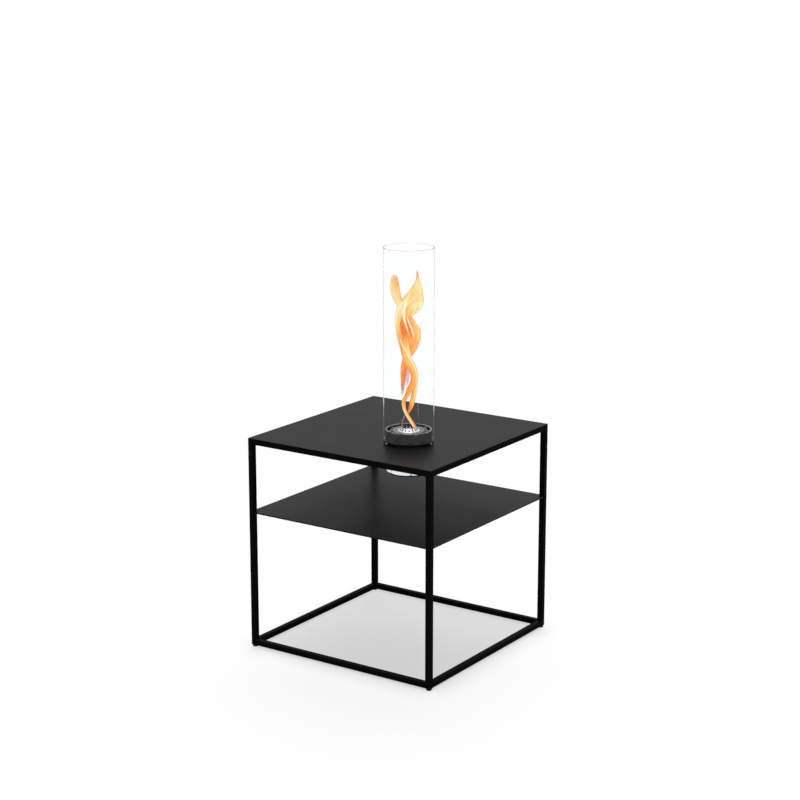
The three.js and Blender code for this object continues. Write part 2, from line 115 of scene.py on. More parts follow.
class BurnerSizes(bpy.types.PropertyGroup):
    """The swirl ring, the fuel can and the pot. Heights are above the tabletop."""

    turn: degrees("Turn", "From the front towards the right, where the ring's face looks", 36)
    air_gap: length("Air gap", "Shadow gap under the flange", 3)
    flange_top: length("Flange top", "Upper face of the flange", 7)
    flange_radius: length("Flange", "Outer radius of the flange", 46)
    flange_foot: length("Flange foot", "Outer radius of the flange's lower face", 45)
    flange_lip: length("Flange lip", "Height of the flange's upright side", 1.5)
    wall_top: length("Wall top", "Upper edge of the wall", 25)
    wall_radius: length("Wall", "Outer radius of the wall", 42)
    wall_thickness: length("Wall thickness", "Thickness of the wall", 2.5)
    vane_count: IntProperty(name="Vanes", description="How many vanes and slits", default=10)
    vane_sweep: degrees("Vane sweep", "How far a vane turns from its foot to its head", 24)
    vane_thickness: length("Vane thickness", "Thickness of a vane", 1.5)
    vane_drop: length("Vane drop", "Heads of the vanes below the top of the wall", 2.5)
    slit_width: length("Slit", "Width of a slit in the wall", 1.5)
    slit_flare: length("Slit flare", "What a slit's mouth gains on each side", 1)
    flare_depth: length("Flare depth", "How deep the mouth of a slit reaches", 2.5)
    foot_cut: length("Foot cut", "Upper edge of the cut above the flange", 1.25)
    foot_cut_span: degrees("Foot cut span", "How far the cut runs along the flange", 19)
    hub_inside: length("Hub", "Inner radius of the hub that carries the vanes", 32.3)
    hub_thickness: length("Hub thickness", "Thickness of the hub", 1.5)
    hub_bottom: length("Hub foot", "Lower edge of the hub", 4)
    ring_edge: length("Ring edge", "Rounding of the ring's edges", 0.35)
    pot_radius: length("Pot", "Outer radius of the pot", 40)
    pot_wall: length("Pot wall", "Thickness of the pot's steel", 1)
    pot_corner: length("Pot corner", "Outer radius of the pot's lower corner", 4)
    can_radius: length("Can", "Outer radius of the fuel can", 30.5)
    can_wall: length("Can wall", "Thickness of the can's steel", 0.75)
    plate_top: length("Plate top", "Rim of the plate", 23)
    plate_dish: length("Plate dish", "Middle of the plate below its rim", 1)
    crown_base: length("Crown base", "Radius of the crown's cone at its foot", 18.5)
    crown_mouth: length("Crown mouth", "Radius of the crown's cone at its mouth", 12.25)
    crown_height: length("Crown height", "Mouth of the crown above the plate", 6)
    crown_sheet: length("Crown sheet", "Thickness of the crown's steel", 1)
    crown_slots: IntProperty(name="Slots", description="How many slots the crown has", default=15)
    glass_wall: length("Glass wall", "Thickness of the glass", 2)
    glass_edge: length("Glass edge", "Rounding of the glass tube's ends", 0.5)


class Finishes(bpy.types.PropertyGroup):
    """Colours and gloss of the finishes."""

    coat: colour("Coat", "Powder coat of the frame", (0.014, 0.014, 0.014))
    top_coat: colour("Top coat", "Powder coat of the tabletop", (0.007, 0.007, 0.007))
    shelf_coat: colour("Shelf coat", "Powder coat of the shelf", (0.012, 0.012, 0.012))
    # The swirl ring's one black finish comes in two copies. The ring coat is lightened as painted
    # light on the outer wall and top. The flange coat is darkened as painted shade on the flange
    # and the inner faces.
    ring_coat: colour("Ring coat", "Black finish of the swirl ring", (0.240, 0.240, 0.240))
    ring_shaded_coat: colour("Flange coat", "Black finish of the flange and of the ring's inner faces",
                        (0.05, 0.05, 0.05))
    plastic: colour("Plastic", "Black plastic of the feet", (0.012, 0.012, 0.012))
    steel: colour("Steel", "Polished stainless steel", (0.76, 0.76, 0.77))
    zinc: colour("Zinc", "Zinc plated steel", (0.42, 0.43, 0.45))
    # Real soot inside the crown, and painted shade on the pot's neck and the plate's rim.
    soot_and_shade: colour("Soot", "Steel that the flame has blackened", (0.020, 0.018, 0.017))
    wool: colour("Wool", "Ceramic wool", (0.80, 0.77, 0.70))
    glass: colour("Glass", "Tint of the glass looked at straight", (0.992, 0.996, 0.995))
    glass_limb: colour("Glass limb", "Tint of the glass seen along its wall", (0.10, 0.105, 0.105))
    limb_glow: share("Limb glow", "Light that the glass carries to its limbs", 0.06)
    coat_roughness: share("Coat roughness", "How matt the powder coat is", 0.5)
    coat_gloss: share("Coat gloss", "Specular level of the frame's powder coat", 0.0045)
    top_gloss: share("Top gloss", "Specular level of the tabletop's powder coat", 0.045)
    shelf_gloss: share("Shelf gloss", "Specular level of the shelf's powder coat", 0.058)
    sheet_roughness: share("Sheet roughness", "How matt the sheets' powder coat is", 0.35)
    flame_rim: colour("Flame rim", "Thin outline of the flame", (0.42, 0.15, 0.06))


class StageSettings(bpy.types.PropertyGroup):
    """The camera and the studio's light."""

    azimuth: degrees("Azimuth", "Where the camera stands, from the front to the right", 34.30)
    elevation: degrees("Elevation", "How far the camera looks down", 13.60)
    distance: length("Distance", "From the camera to what it aims at", 3609.4)
    aim_height: length("Aim height", "What the camera aims at, above the floor", 461.5)
    lens: FloatProperty(name="Lens", description="Focal length in millimetres", default=88.03)
    key: FloatProperty(name="Key light", description="Strength of the key light", default=0.9)
    overhead: FloatProperty(name="Overhead light", description="Strength of the soft top light",
                            default=2.4)
    room: FloatProperty(name="Room light", description="Level of the room's scattered light",
                        default=0.12)
    mirrored: FloatProperty(name="Mirrored room", description="Level of the room in the steel",
                            default=0.6)


def sizes(name):
    return getattr(bpy.context.scene, name)


# ---------------------------------------------------------------- mesh helpers


def soften(bm, width, segments=3, angle=40):
    """Round every edge that is sharper than an angle."""
    limit = math.radians(angle)
    sharp = [edge for edge in bm.edges if edge.is_manifold and edge.calc_face_angle() > limit]
    bmesh.ops.bevel(bm, geom=sharp, offset=width, offset_type="OFFSET", segments=segments,
                    profile=0.5, affect="EDGES", clamp_overlap=True, material=-1)


def spun(bm, profile, steps, ring=False):
    """Spin a profile of (radius, height) round Z; a ring's profile is closed."""
    points = [bm.verts.new((radius, 0.0, height)) for radius, height in profile]
    pairs = list(zip(points, points[1:]))
    if ring:
        pairs.append((points[-1], points[0]))
    edges = [bm.edges.new(pair) for pair in pairs]
    bmesh.ops.spin(bm, geom=points + edges, cent=(0, 0, 0), axis=(0, 0, 1), dvec=(0, 0, 0),
                   angle=math.tau, steps=steps, use_merge=True, use_duplicate=False)


def seal(bm):
    """Merge what lies on one point, and turn the faces outwards."""
    bmesh.ops.remove_doubles(bm, verts=bm.verts, dist=1e-6)
    bmesh.ops.recalc_face_normals(bm, faces=bm.faces)


def lathed(profile, steps, ring=False):
    """A new bmesh with a profile spun round Z."""
    bm = bmesh.new()
    spun(bm, profile, steps, ring)
    seal(bm)
    return bm


def arc(centre, radius, start, end, steps=6):
    """Points of an arc in a profile, from one angle in degrees to another."""
    points = []
    for step in range(steps + 1):
        angle = math.radians(start + (end - start) * step / steps)
        points.append((centre[0] + radius * math.cos(angle),
                       centre[1] + radius * math.sin(angle)))
    return points


def cylinder_point(radius, angle, height):
    return Vector((radius * math.cos(angle), radius * math.sin(angle), height))


def grid_places(bm, columns, rows):
    """Add a flat grid, and return each vertex with its column and row."""
    made = bmesh.ops.create_grid(bm, x_segments=columns, y_segments=rows, size=1.0)
    places = []
    for vert in made["verts"]:
        column = round((vert.co.x + 1) / 2 * columns)
        row = round((vert.co.y + 1) / 2 * rows)
        places.append((vert, column, row))
    return places


def extruded(bm):
    """Extrude all the faces, and return the new vertices."""
    made = bmesh.ops.extrude_face_region(bm, geom=bm.faces[:])
    return [part for part in made["geom"] if isinstance(part, bmesh.types.BMVert)]


def merge_into(bm, other):
    """Put one bmesh into another."""
    mesh = bpy.data.meshes.new("part")
    other.to_mesh(mesh)
    other.free()
    bm.from_mesh(mesh)
    bpy.data.meshes.remove(mesh)


def burner_place():
    """From the burner's own frame, on its axis and level with the tabletop."""
    turn = sizes("burner_sizes").turn - math.pi / 2
    return Matrix.Translation(BURNER_AXIS) @ Matrix.Rotation(turn, 4, "Z")


def place_in_burner(bm):
    """Bring a bmesh from the burner's own frame into the scene's."""
    bmesh.ops.transform(bm, matrix=burner_place(), verts=bm.verts)


def burner_heights(node):
    """The lower and the upper end of a node, above the tabletop."""
    low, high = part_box(node)
    return low.z - TABLE_TOP, high.z - TABLE_TOP


def finished(bm, name, materials, body, nodes=(), smooth=30):
    """Make a bmesh a piece: it rides on a body and stands for CAD nodes."""
    mesh = bpy.data.meshes.new(name)
    bm.to_mesh(mesh)
    bm.free()
    mesh.shade_smooth()
    mesh.set_sharp_from_angle(angle=math.radians(smooth))
    for material in materials:
        mesh.materials.append(material)
    piece = bpy.data.objects.new(name, mesh)
    bpy.context.scene.collection.objects.link(piece)
    even = piece.modifiers.new("flat faces shade flat", "WEIGHTED_NORMAL")
    even.mode = "FACE_AREA"
    even.keep_sharp = True
    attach(piece, body)
    if nodes:
        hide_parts(*nodes)


# ---------------------------------------------------------------- material helpers


def set_inputs(tree, node, inputs):
    """Give a node's sockets values or links."""
    for name, value in inputs.items():
        if isinstance(value, bpy.types.NodeSocket):
            tree.links.new(value, node.inputs[name])
        else:
            node.inputs[name].default_value = value


def put(tree, kind, inputs=None, **settings):
    """Add a node with its settings and its sockets' values or links."""
    node = tree.nodes.new(kind)
    for name, value in settings.items():
        setattr(node, name, value)
    set_inputs(tree, node, inputs or {})
    return node


def calc(tree, operation, first, second=0.0, clamp=False):
    """A Math node's value."""
    node = put(tree, "ShaderNodeMath", {0: first, 1: second}, operation=operation,
               use_clamp=clamp)
    return node.outputs[0]


def spread(tree, value, low, high, to_low=0.0, to_high=1.0):
    """A value's range moved to another one, and kept inside it."""
    inputs = {"Value": value, "From Min": low, "From Max": high, "To Min": to_low,
              "To Max": to_high}
    return put(tree, "ShaderNodeMapRange", inputs).outputs["Result"]


def blend_colours(tree, factor, first, second, blend="MIX"):
    """A Mix node's colour; its colour sockets are the numbers 6, 7 and 2."""
    node = put(tree, "ShaderNodeMix", data_type="RGBA", blend_type=blend)
    set_inputs(tree, node, {0: factor, 6: first, 7: second})
    return node.outputs[2]


def noise_level(tree, place, scale, detail, distortion=0.0):
    """A Noise Texture's value."""
    inputs = {"Vector": place, "Scale": scale, "Detail": detail, "Distortion": distortion}
    return put(tree, "ShaderNodeTexNoise", inputs).outputs["Fac"]


def height_of(tree, place):
    return put(tree, "ShaderNodeSeparateXYZ", {"Vector": place}).outputs["Z"]


def grey(level):
    return (level, level, level, 1.0)


def dimmed(tint, level):
    """A colour at a share of its brightness."""
    return tuple(level * part for part in tint)


def ramp(tree, value, stops):
    """A Color Ramp's colour; the stops are (position, colour)."""
    node = put(tree, "ShaderNodeValToRGB", {"Fac": value})
    elements = node.color_ramp.elements
    while len(elements) < len(stops):
        elements.new(0.5)
    for element, (position, shade) in zip(elements, stops):
        element.position = position
        element.color = (*shade, 1.0)
    return node.outputs["Color"]


def arrange(tree):
    """Set the nodes out in columns, from the last one back to the first."""
    depth = {node: 0 for node in tree.nodes}
    for _ in tree.nodes:
        for link in tree.links:
            depth[link.from_node] = max(depth[link.from_node], depth[link.to_node] + 1)
    filled = {}
    for node, column in depth.items():
        row = filled.get(column, 0)
        node.location = (-220 * column, -260 * row)
        filled[column] = row + 1


VECTOR, FLOAT, COLOUR = "NodeSocketVector", "NodeSocketFloat", "NodeSocketColor"


def new_group(name, inputs):
    """An empty node group, and the values that are given to it."""
    tree = bpy.data.node_groups.new(name, "ShaderNodeTree")
    for socket, kind in inputs:
        tree.interface.new_socket(name=socket, in_out="INPUT", socket_type=kind)
    return tree, put(tree, "NodeGroupInput").outputs


def close_group(tree, outputs):
    """Send values out of a node group; an output is its name, its kind and its value."""
    for socket, kind, _ in outputs:
        tree.interface.new_socket(name=socket, in_out="OUTPUT", socket_type=kind)
    put(tree, "NodeGroupOutput", {socket: value for socket, _, value in outputs})
    arrange(tree)
    return tree


def close_material(tree, surface, inputs, bump=None):
    """End a material in a Principled shader, over a bump of height, strength and distance."""
    if bump:
        relief = dict(zip(("Height", "Strength", "Distance"), bump))
        inputs = {**inputs, "Normal": put(tree, "ShaderNodeBump", relief).outputs[0]}
    shader = put(tree, "ShaderNodeBsdfPrincipled", inputs)
    tree.links.new(shader.outputs[0], surface)
    arrange(tree)


def handling_marks():
    """Broad, faint marks that hands and cloths leave on a surface."""
    name = "Handling marks"
    if name in bpy.data.node_groups:
        return bpy.data.node_groups[name]
    tree, given = new_group(name, [("Vector", VECTOR), ("Size", FLOAT)])
    scale = calc(tree, "DIVIDE", 1.0, given["Size"])
    cloud = noise_level(tree, given["Vector"], scale, 4.0, distortion=0.8)
    return close_group(tree, [("Mask", FLOAT, spread(tree, cloud, 0.35, 0.68))])


# What both finish groups take, besides the place and the spacing of their relief.
FINISH_INPUTS = (("Color", COLOUR), ("Roughness", FLOAT), ("Marks", FLOAT))


def powder_grain():
    """The fine orange peel of a baked powder coat, with faint clouds in its tone."""
    name = "Powder grain"
    if name in bpy.data.node_groups:
        return bpy.data.node_groups[name]
    tree, given = new_group(name, [("Vector", VECTOR), ("Grain", FLOAT), *FINISH_INPUTS])
    fine = calc(tree, "DIVIDE", 1.0, given["Grain"])
    coarse = calc(tree, "MULTIPLY", fine, 0.3)
    peel = noise_level(tree, given["Vector"], fine, 2.0)
    roll = noise_level(tree, given["Vector"], coarse, 1.0)
    height = calc(tree, "ADD", calc(tree, "MULTIPLY", peel, 0.6),
                  calc(tree, "MULTIPLY", roll, 0.4))
    speck, speck_tint = spread(tree, peel, 0.58, 0.78, 0.0, 0.25), (0.11, 0.11, 0.112, 1.0)
    lighter = blend_colours(tree, speck, given["Color"], speck_tint)
    tone = spread(tree, given["Marks"], 0.0, 1.0, 0.94, 1.04)
    shaded = blend_colours(tree, 1.0, lighter, tone, "MULTIPLY")
    rough = calc(tree, "ADD", given["Roughness"],
                 spread(tree, given["Marks"], 0.0, 1.0, -0.015, 0.015))
    rough = calc(tree, "ADD", rough, spread(tree, peel, 0.3, 0.7, -0.03, 0.03), clamp=True)
    return close_group(tree, [("Color", COLOUR, shaded), ("Roughness", FLOAT, rough),
                              ("Height", FLOAT, height)])


def lathe_lines():
    """The rings and lines that turning and polishing leave on round steel."""
    name = "Lathe lines"
    if name in bpy.data.node_groups:
        return bpy.data.node_groups[name]
    tree, given = new_group(name, [("Vector", VECTOR), ("Spacing", FLOAT), *FINISH_INPUTS])
    along = calc(tree, "ADD", from_axis(tree, given["Vector"]), height_of(tree, given["Vector"]))
    scale = calc(tree, "DIVIDE", 1.0, given["Spacing"])
    lines = put(tree, "ShaderNodeTexNoise", {"W": along, "Scale": scale, "Detail": 3.0},
                noise_dimensions="1D").outputs["Fac"]
    groove, groove_tint = spread(tree, lines, 0.3, 0.8, 0.0, 0.25), (0.35, 0.35, 0.36, 1.0)
    darker = blend_colours(tree, groove, given["Color"], groove_tint)
    tone = spread(tree, given["Marks"], 0.0, 1.0, 0.9, 1.0)
    shaded = blend_colours(tree, 1.0, darker, tone, "MULTIPLY")
    rough = calc(tree, "ADD", given["Roughness"], spread(tree, lines, 0.3, 0.7, -0.03, 0.06))
    rough = calc(tree, "ADD", rough, spread(tree, given["Marks"], 0.0, 1.0, 0.0, 0.08),
                 clamp=True)
    return close_group(tree, [("Color", COLOUR, shaded), ("Roughness", FLOAT, rough),
                              ("Height", FLOAT, lines)])


def new_material(name):
    """A material with an empty tree, its output and its Object coordinates."""
    material = bpy.data.materials.new(name)
    material.use_nodes = True
    tree = material.node_tree
    tree.nodes.clear()
    output = put(tree, "ShaderNodeOutputMaterial")
    place = put(tree, "ShaderNodeTexCoord").outputs["Object"]
    return material, tree, output.inputs["Surface"], place


def from_axis(tree, place):
    """Distance from the Z axis."""
    parts = put(tree, "ShaderNodeSeparateXYZ", {"Vector": place}).outputs
    flat = put(tree, "ShaderNodeCombineXYZ", {"X": parts["X"], "Y": parts["Y"]}).outputs[0]
    return put(tree, "ShaderNodeVectorMath", {0: flat}, operation="LENGTH").outputs["Value"]


def centred(tree, place):
    """Object coordinates moved on to the burner's axis."""
    inputs = {"Vector": place, "Location": -BURNER_AXIS}
    return put(tree, "ShaderNodeMapping", inputs).outputs["Vector"]


def fill_group(tree, group, inputs):
    """A node group's outputs, when it is given some inputs."""
    return put(tree, "ShaderNodeGroup", inputs, node_tree=group).outputs


def marks_on(tree, place, size):
    """The mask of the handling marks of a size."""
    return fill_group(tree, handling_marks(), {"Vector": place, "Size": size})["Mask"]


def coat_material(name, tint, grain=0.55 * MM, depth=0.02 * MM, gloss=None, roughness=None):
    """Powder coat or moulded plastic: a dark tint and a fine, rolling grain."""
    if name in bpy.data.materials:
        return bpy.data.materials[name]
    finishes = sizes("finishes")
    material, tree, surface, place = new_material(name)
    coat = fill_group(tree, powder_grain(), {
        "Vector": place, "Grain": grain, "Color": (*tint, 1.0),
        "Roughness": finishes.coat_roughness if roughness is None else roughness,
        "Marks": marks_on(tree, place, 90 * MM)})
    close_material(tree, surface, {
        "Base Color": coat["Color"], "Roughness": coat["Roughness"],
        "Specular IOR Level": finishes.coat_gloss if gloss is None else gloss},
        bump=(coat["Height"], 1.0, depth))
    return material


def steel_material(name, tint, roughness, spacing=0.25 * MM):
    """Turned and polished steel, with lines at a spacing."""
    if name in bpy.data.materials:
        return bpy.data.materials[name]
    material, tree, surface, place = new_material(name)
    place = centred(tree, place)
    steel = fill_group(tree, lathe_lines(), {
        "Vector": place, "Spacing": spacing, "Color": (*tint, 1.0), "Roughness": roughness,
        "Marks": marks_on(tree, place, 30 * MM)})
    close_material(tree, surface, {
        "Base Color": steel["Color"], "Roughness": steel["Roughness"], "Metallic": 1.0},
        bump=(steel["Height"], 0.6, 0.004 * MM))
    return material


def soot_and_shade_material():
    """Steel that the flame has blackened; the same dark steel is painted shade on the pot's neck
    and the plate's rim.
    """
    return steel_material("sooty and shaded steel", sizes("finishes").soot_and_shade, 0.55)


def wool_material():
    """A pressed block of white ceramic fibre."""
    material, tree, surface, place = new_material("ceramic wool")
    layers = {"Vector": place, "Scale": (1.0, 1.0, 3.5)}
    pressed = put(tree, "ShaderNodeMapping", layers).outputs[0]
    fibre = noise_level(tree, pressed, 900.0, 6.0, distortion=1.6)
    stain, stain_tint = marks_on(tree, place, 20 * MM), (0.4, 0.36, 0.3, 1.0)
    tint = sizes("finishes").wool
    tone = blend_colours(tree, spread(tree, fibre, 0.35, 0.65), (*dimmed(tint, 0.55), 1.0),
                         (*tint, 1.0))
    tone = blend_colours(tree, calc(tree, "MULTIPLY", stain, 0.25), tone, stain_tint)
    close_material(tree, surface, {
        "Base Color": tone, "Roughness": 1.0, "Specular IOR Level": 0.1},
        bump=(fibre, 1.0, 0.3 * MM))
    return material


def glass_material():
    """Clear glass: all but unseen straight on, it bends the light at its limbs and its rim."""
    material, tree, surface, place = new_material("clear glass")
    place = centred(tree, place)
    marks = marks_on(tree, place, 50 * MM)
    finishes = sizes("finishes")
    duller = dimmed(finishes.glass_limb, 0.96)
    tone = blend_colours(tree, marks, (*finishes.glass_limb, 1.0), (*duller, 1.0))
    glass = put(tree, "ShaderNodeBsdfPrincipled", {
        "Base Color": tone, "Roughness": spread(tree, marks, 0.0, 1.0, 0.0, 0.012), "IOR": 1.5,
        "Metallic": 0.0, "Transmission Weight": 1.0, "Emission Color": grey(1.0),
        "Emission Strength": finishes.limb_glow})
    clear = put(tree, "ShaderNodeBsdfTransparent", {"Color": (*finishes.glass, 1.0)})
    facing = put(tree, "ShaderNodeLayerWeight").outputs["Facing"]
    shadow = put(tree, "ShaderNodeLightPath").outputs["Is Shadow Ray"]
    height, mouth = height_of(tree, place), GLASS_HIGH.z - TABLE_TOP
    margin, rim_band = 0.2 * MM, 2 * MM
    bore = (GLASS_HIGH.x - GLASS_LOW.x) / 2 - sizes("burner_sizes").glass_wall
    outside = calc(tree, "GREATER_THAN", from_axis(tree, place), bore + margin)
    # The limb starts where the wall is seen at a slant, and a little earlier below the rim.
    near_rim = calc(tree, "GREATER_THAN", height, mouth - rim_band)
    limb = calc(tree, "MAXIMUM", spread(tree, facing, 0.72, 0.86),
                calc(tree, "MULTIPLY", near_rim, spread(tree, facing, 0.50, 0.80)))
    limb = calc(tree, "MULTIPLY", limb, outside)
    rim = calc(tree, "GREATER_THAN", height, mouth - margin)
    limb = calc(tree, "MAXIMUM", limb, rim)
    limb = calc(tree, "MULTIPLY", limb, calc(tree, "SUBTRACT", 1.0, shadow))
    mixed = put(tree, "ShaderNodeMixShader", {0: limb, 1: clear.outputs[0], 2: glass.outputs[0]})
    tree.links.new(mixed.outputs[0], surface)
    arrange(tree)
    return material


def flame_material():
    """Glowing gas: each strand carries its tone, its density and its thin outline."""
    material, tree, surface, _ = new_material("flame glow")
    given = {name: put(tree, "ShaderNodeAttribute", attribute_name=name).outputs["Fac"]
             for name in FLAME_LAYERS}
    thread = put(tree, "ShaderNodeCombineXYZ", {
        axis: calc(tree, "MULTIPLY", given[layer], stretch)
        for axis, layer, stretch in (("X", "side", 1.6), ("Y", "climb", 6.0),
                                     ("Z", "strand", 7.0))}).outputs[0]
    streak = noise_level(tree, thread, 1.8, 2.0, distortion=0.4)
    tone = calc(tree, "ADD", given["tone"], spread(tree, streak, 0.3, 0.7, -0.09, 0.09))
    body = ramp(tree, tone, FLAME_TONES)
    rim = (*sizes("finishes").flame_rim, 1.0)
    body = blend_colours(tree, given["outline"], body, rim)
    close_material(tree, surface, {
        "Base Color": grey(0.0), "Roughness": 1.0, "Specular IOR Level": 0.0,
        "Emission Color": body, "Emission Strength": 1.0, "Alpha": given["opacity"]})
    return material


# ---------------------------------------------------------------- the table


def tube_piece(node, material):
    """A square tube in a node's box, open at its ends, with rounded long edges."""
    table = sizes("table_sizes")
    low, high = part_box(node)
    size = high - low
    along = max(range(3), key=lambda axis: size[axis])
    bm = bmesh.new()
    place = Matrix.Translation((low + high) / 2) @ Matrix.Diagonal((*size, 1.0))
    bmesh.ops.create_cube(bm, size=1.0, matrix=place)
    long_edges = [edge for edge in bm.edges
                  if abs(edge.verts[0].co[along] - edge.verts[1].co[along]) > size[along] / 2]
    bmesh.ops.bevel(bm, geom=long_edges, offset=table.tube_edge, offset_type="OFFSET", segments=4,
                    profile=0.5, affect="EDGES", clamp_overlap=True, material=-1)
    ends = [face for face in bm.faces if abs(face.normal[along]) > 0.9]
    bmesh.ops.delete(bm, geom=ends, context="FACES_ONLY")
    seal(bm)
    bmesh.ops.solidify(bm, geom=bm.faces[:], thickness=table.tube_wall)
    finished(bm, f"{node}_tube", [material], "table", [node])


def sheet_piece(bm, node, material, dissolve=False):
    """Thicken a flat sheet to the height of a node's box, and round its edges."""
    low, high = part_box(node)
    bmesh.ops.translate(bm, vec=(0, 0, high.z - low.z), verts=extruded(bm))
    seal(bm)
    if dissolve:
        bmesh.ops.dissolve_limit(bm, angle_limit=math.radians(1), verts=bm.verts[:],
                                 edges=bm.edges[:])
    soften(bm, sizes("table_sizes").sheet_edge)
    finished(bm, f"{node}_sheet", [material], "table", [node])


class FIREPLACE_OT_frame(bpy.types.Operator):
    """Make the square tubes of the frame"""

    bl_idname = "fireplace.frame"
    bl_label = "Frame"

    def execute(self, context):
        material = coat_material("frame powder coat", sizes("finishes").coat)
        for corner in CORNERS:
            tube_piece(f"leg_{corner}", material)
        for level in ("top", "bottom"):
            for side in SIDES:
                tube_piece(f"{level}_rail_{side}", material)
        return {"FINISHED"}


class FIREPLACE_OT_tabletop(bpy.types.Operator):
    """Make the tabletop sheet with the burner's hole"""

    bl_idname = "fireplace.tabletop"
    bl_label = "Tabletop"

    def execute(self, context):
        finishes = sizes("finishes")
        low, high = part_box("tabletop")
        middle = (low + high) / 2
        bm = bmesh.new()
        place = Matrix.Translation((middle.x, middle.y, low.z))
        place = place @ Matrix.Diagonal((high.x - low.x, high.y - low.y, 1.0, 1.0))
        bmesh.ops.create_grid(bm, x_segments=1, y_segments=1, size=0.5, matrix=place)
        bmesh.ops.delete(bm, geom=bm.faces[:], context="FACES_ONLY")
        hole = Matrix.Translation((BURNER_AXIS.x, BURNER_AXIS.y, low.z))
        bmesh.ops.create_circle(bm, cap_ends=False, segments=144, matrix=hole,
                                radius=sizes("table_sizes").hole_radius)
        bmesh.ops.triangle_fill(bm, use_beauty=True, use_dissolve=False, edges=bm.edges[:])
        material = coat_material("tabletop powder coat", finishes.top_coat,
                                 gloss=finishes.top_gloss, roughness=finishes.sheet_roughness)
        sheet_piece(bm, "tabletop", material)
        return {"FINISHED"}


class FIREPLACE_OT_shelf(bpy.types.Operator):
    """Make the shelf sheet, notched round the legs"""

    bl_idname = "fireplace.shelf"
    bl_label = "Shelf"

    def execute(self, context):
        finishes = sizes("finishes")
        low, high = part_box("shelf")
        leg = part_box("leg_back_right")[0]
        columns = (low.x, -leg.x, leg.x, high.x)
        rows = (low.y, -leg.y, leg.y, high.y)
        bm = bmesh.new()
        for vert, column, row in grid_places(bm, 3, 3):
            vert.co = (columns[column], rows[row], low.z)
        notches = [face for face in bm.faces
                   if abs(face.calc_center_median().x) > leg.x
                   and abs(face.calc_center_median().y) > leg.y]
        bmesh.ops.delete(bm, geom=notches, context="FACES")
        material = coat_material("shelf powder coat", finishes.shelf_coat,
                                 gloss=finishes.shelf_gloss, roughness=finishes.sheet_roughness)
        sheet_piece(bm, "shelf", material, dissolve=True)
        return {"FINISHED"}


class FIREPLACE_OT_feet(bpy.types.Operator):
    """Make the round feet with their threaded studs, and finish the plugs"""

    bl_idname = "fireplace.feet"
    bl_label = "Feet"

    def execute(self, context):
        table = sizes("table_sizes")
        plastic = coat_material("foot plastic", sizes("finishes").plastic, grain=0.3 * MM,
                                depth=0.01 * MM, gloss=0.3, roughness=0.6)
        zinc = steel_material("zinc plate", sizes("finishes").zinc, 0.38, spacing=0.4 * MM)
        for corner in CORNERS:
            low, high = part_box(f"levelling_foot_{corner}")
            pad_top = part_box(f"leg_{corner}")[0].z
            middle = Vector(((low.x + high.x) / 2, (low.y + high.y) / 2, 0.0))
            pad = (high.x - low.x) / 2
            edge = table.foot_edge
            bm = bmesh.new()
            spun(bm, [(0, low.z), *arc((pad - edge, low.z + edge), edge, -90, 0),
                      *arc((pad - edge, pad_top - edge), edge, 0, 90), (0, pad_top)], 64)
            self.add_stud(bm, table, pad_top - edge, high.z)
            seal(bm)
            bmesh.ops.translate(bm, vec=middle, verts=bm.verts)
            finished(bm, f"foot_{corner}_pad", [plastic], f"foot_{corner}",
                     [f"levelling_foot_{corner}"])
            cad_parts[f"foot_plug_{corner}"].data.materials.clear()
            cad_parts[f"foot_plug_{corner}"].data.materials.append(zinc)
        return {"FINISHED"}

    @staticmethod
    def add_stud(bm, table, bottom, top):
        """A stud with a closed ridge that rises round it; the ridge's foot is inside the core."""
        core = table.stud_radius - 0.35 * MM
        root, tip = core - 0.1 * MM, 0.5 * MM
        spun(bm, [(0, bottom), (core, bottom), (core, top - tip), (core - tip, top), (0, top)], 32)
        turns = int((top - tip - bottom) / table.thread_pitch) - 1
        steps = 24
        half = 0.42 * table.thread_pitch
        start = bottom + half
        ridge = [(root, start - half), (table.stud_radius, start), (root, start + half)]
        points = [bm.verts.new((radius, 0.0, height)) for radius, height in ridge]
        edges = [bm.edges.new(pair) for pair in zip(points, points[1:] + points[:1])]
        made = bmesh.ops.spin(bm, geom=points + edges, cent=(0, 0, 0), axis=(0, 0, 1),
                              dvec=(0, 0, table.thread_pitch / steps), angle=math.tau * turns,
                              steps=steps * turns, use_merge=False, use_duplicate=False)
        last = [part for part in made["geom_last"] if isinstance(part, bmesh.types.BMVert)]
        for end in (points, last):
            bmesh.ops.contextual_create(bm, geom=end)


# ---------------------------------------------------------------- the burner


def slit_angle(burner, index, height):
    """Where the middle of a slit stands at a height: the slits lean."""
    pitch = math.tau / burner.vane_count
    drop = (burner.wall_top - height) / (burner.wall_top - burner.flange_top)
    return (index + 0.5) * pitch - burner.vane_sweep * drop


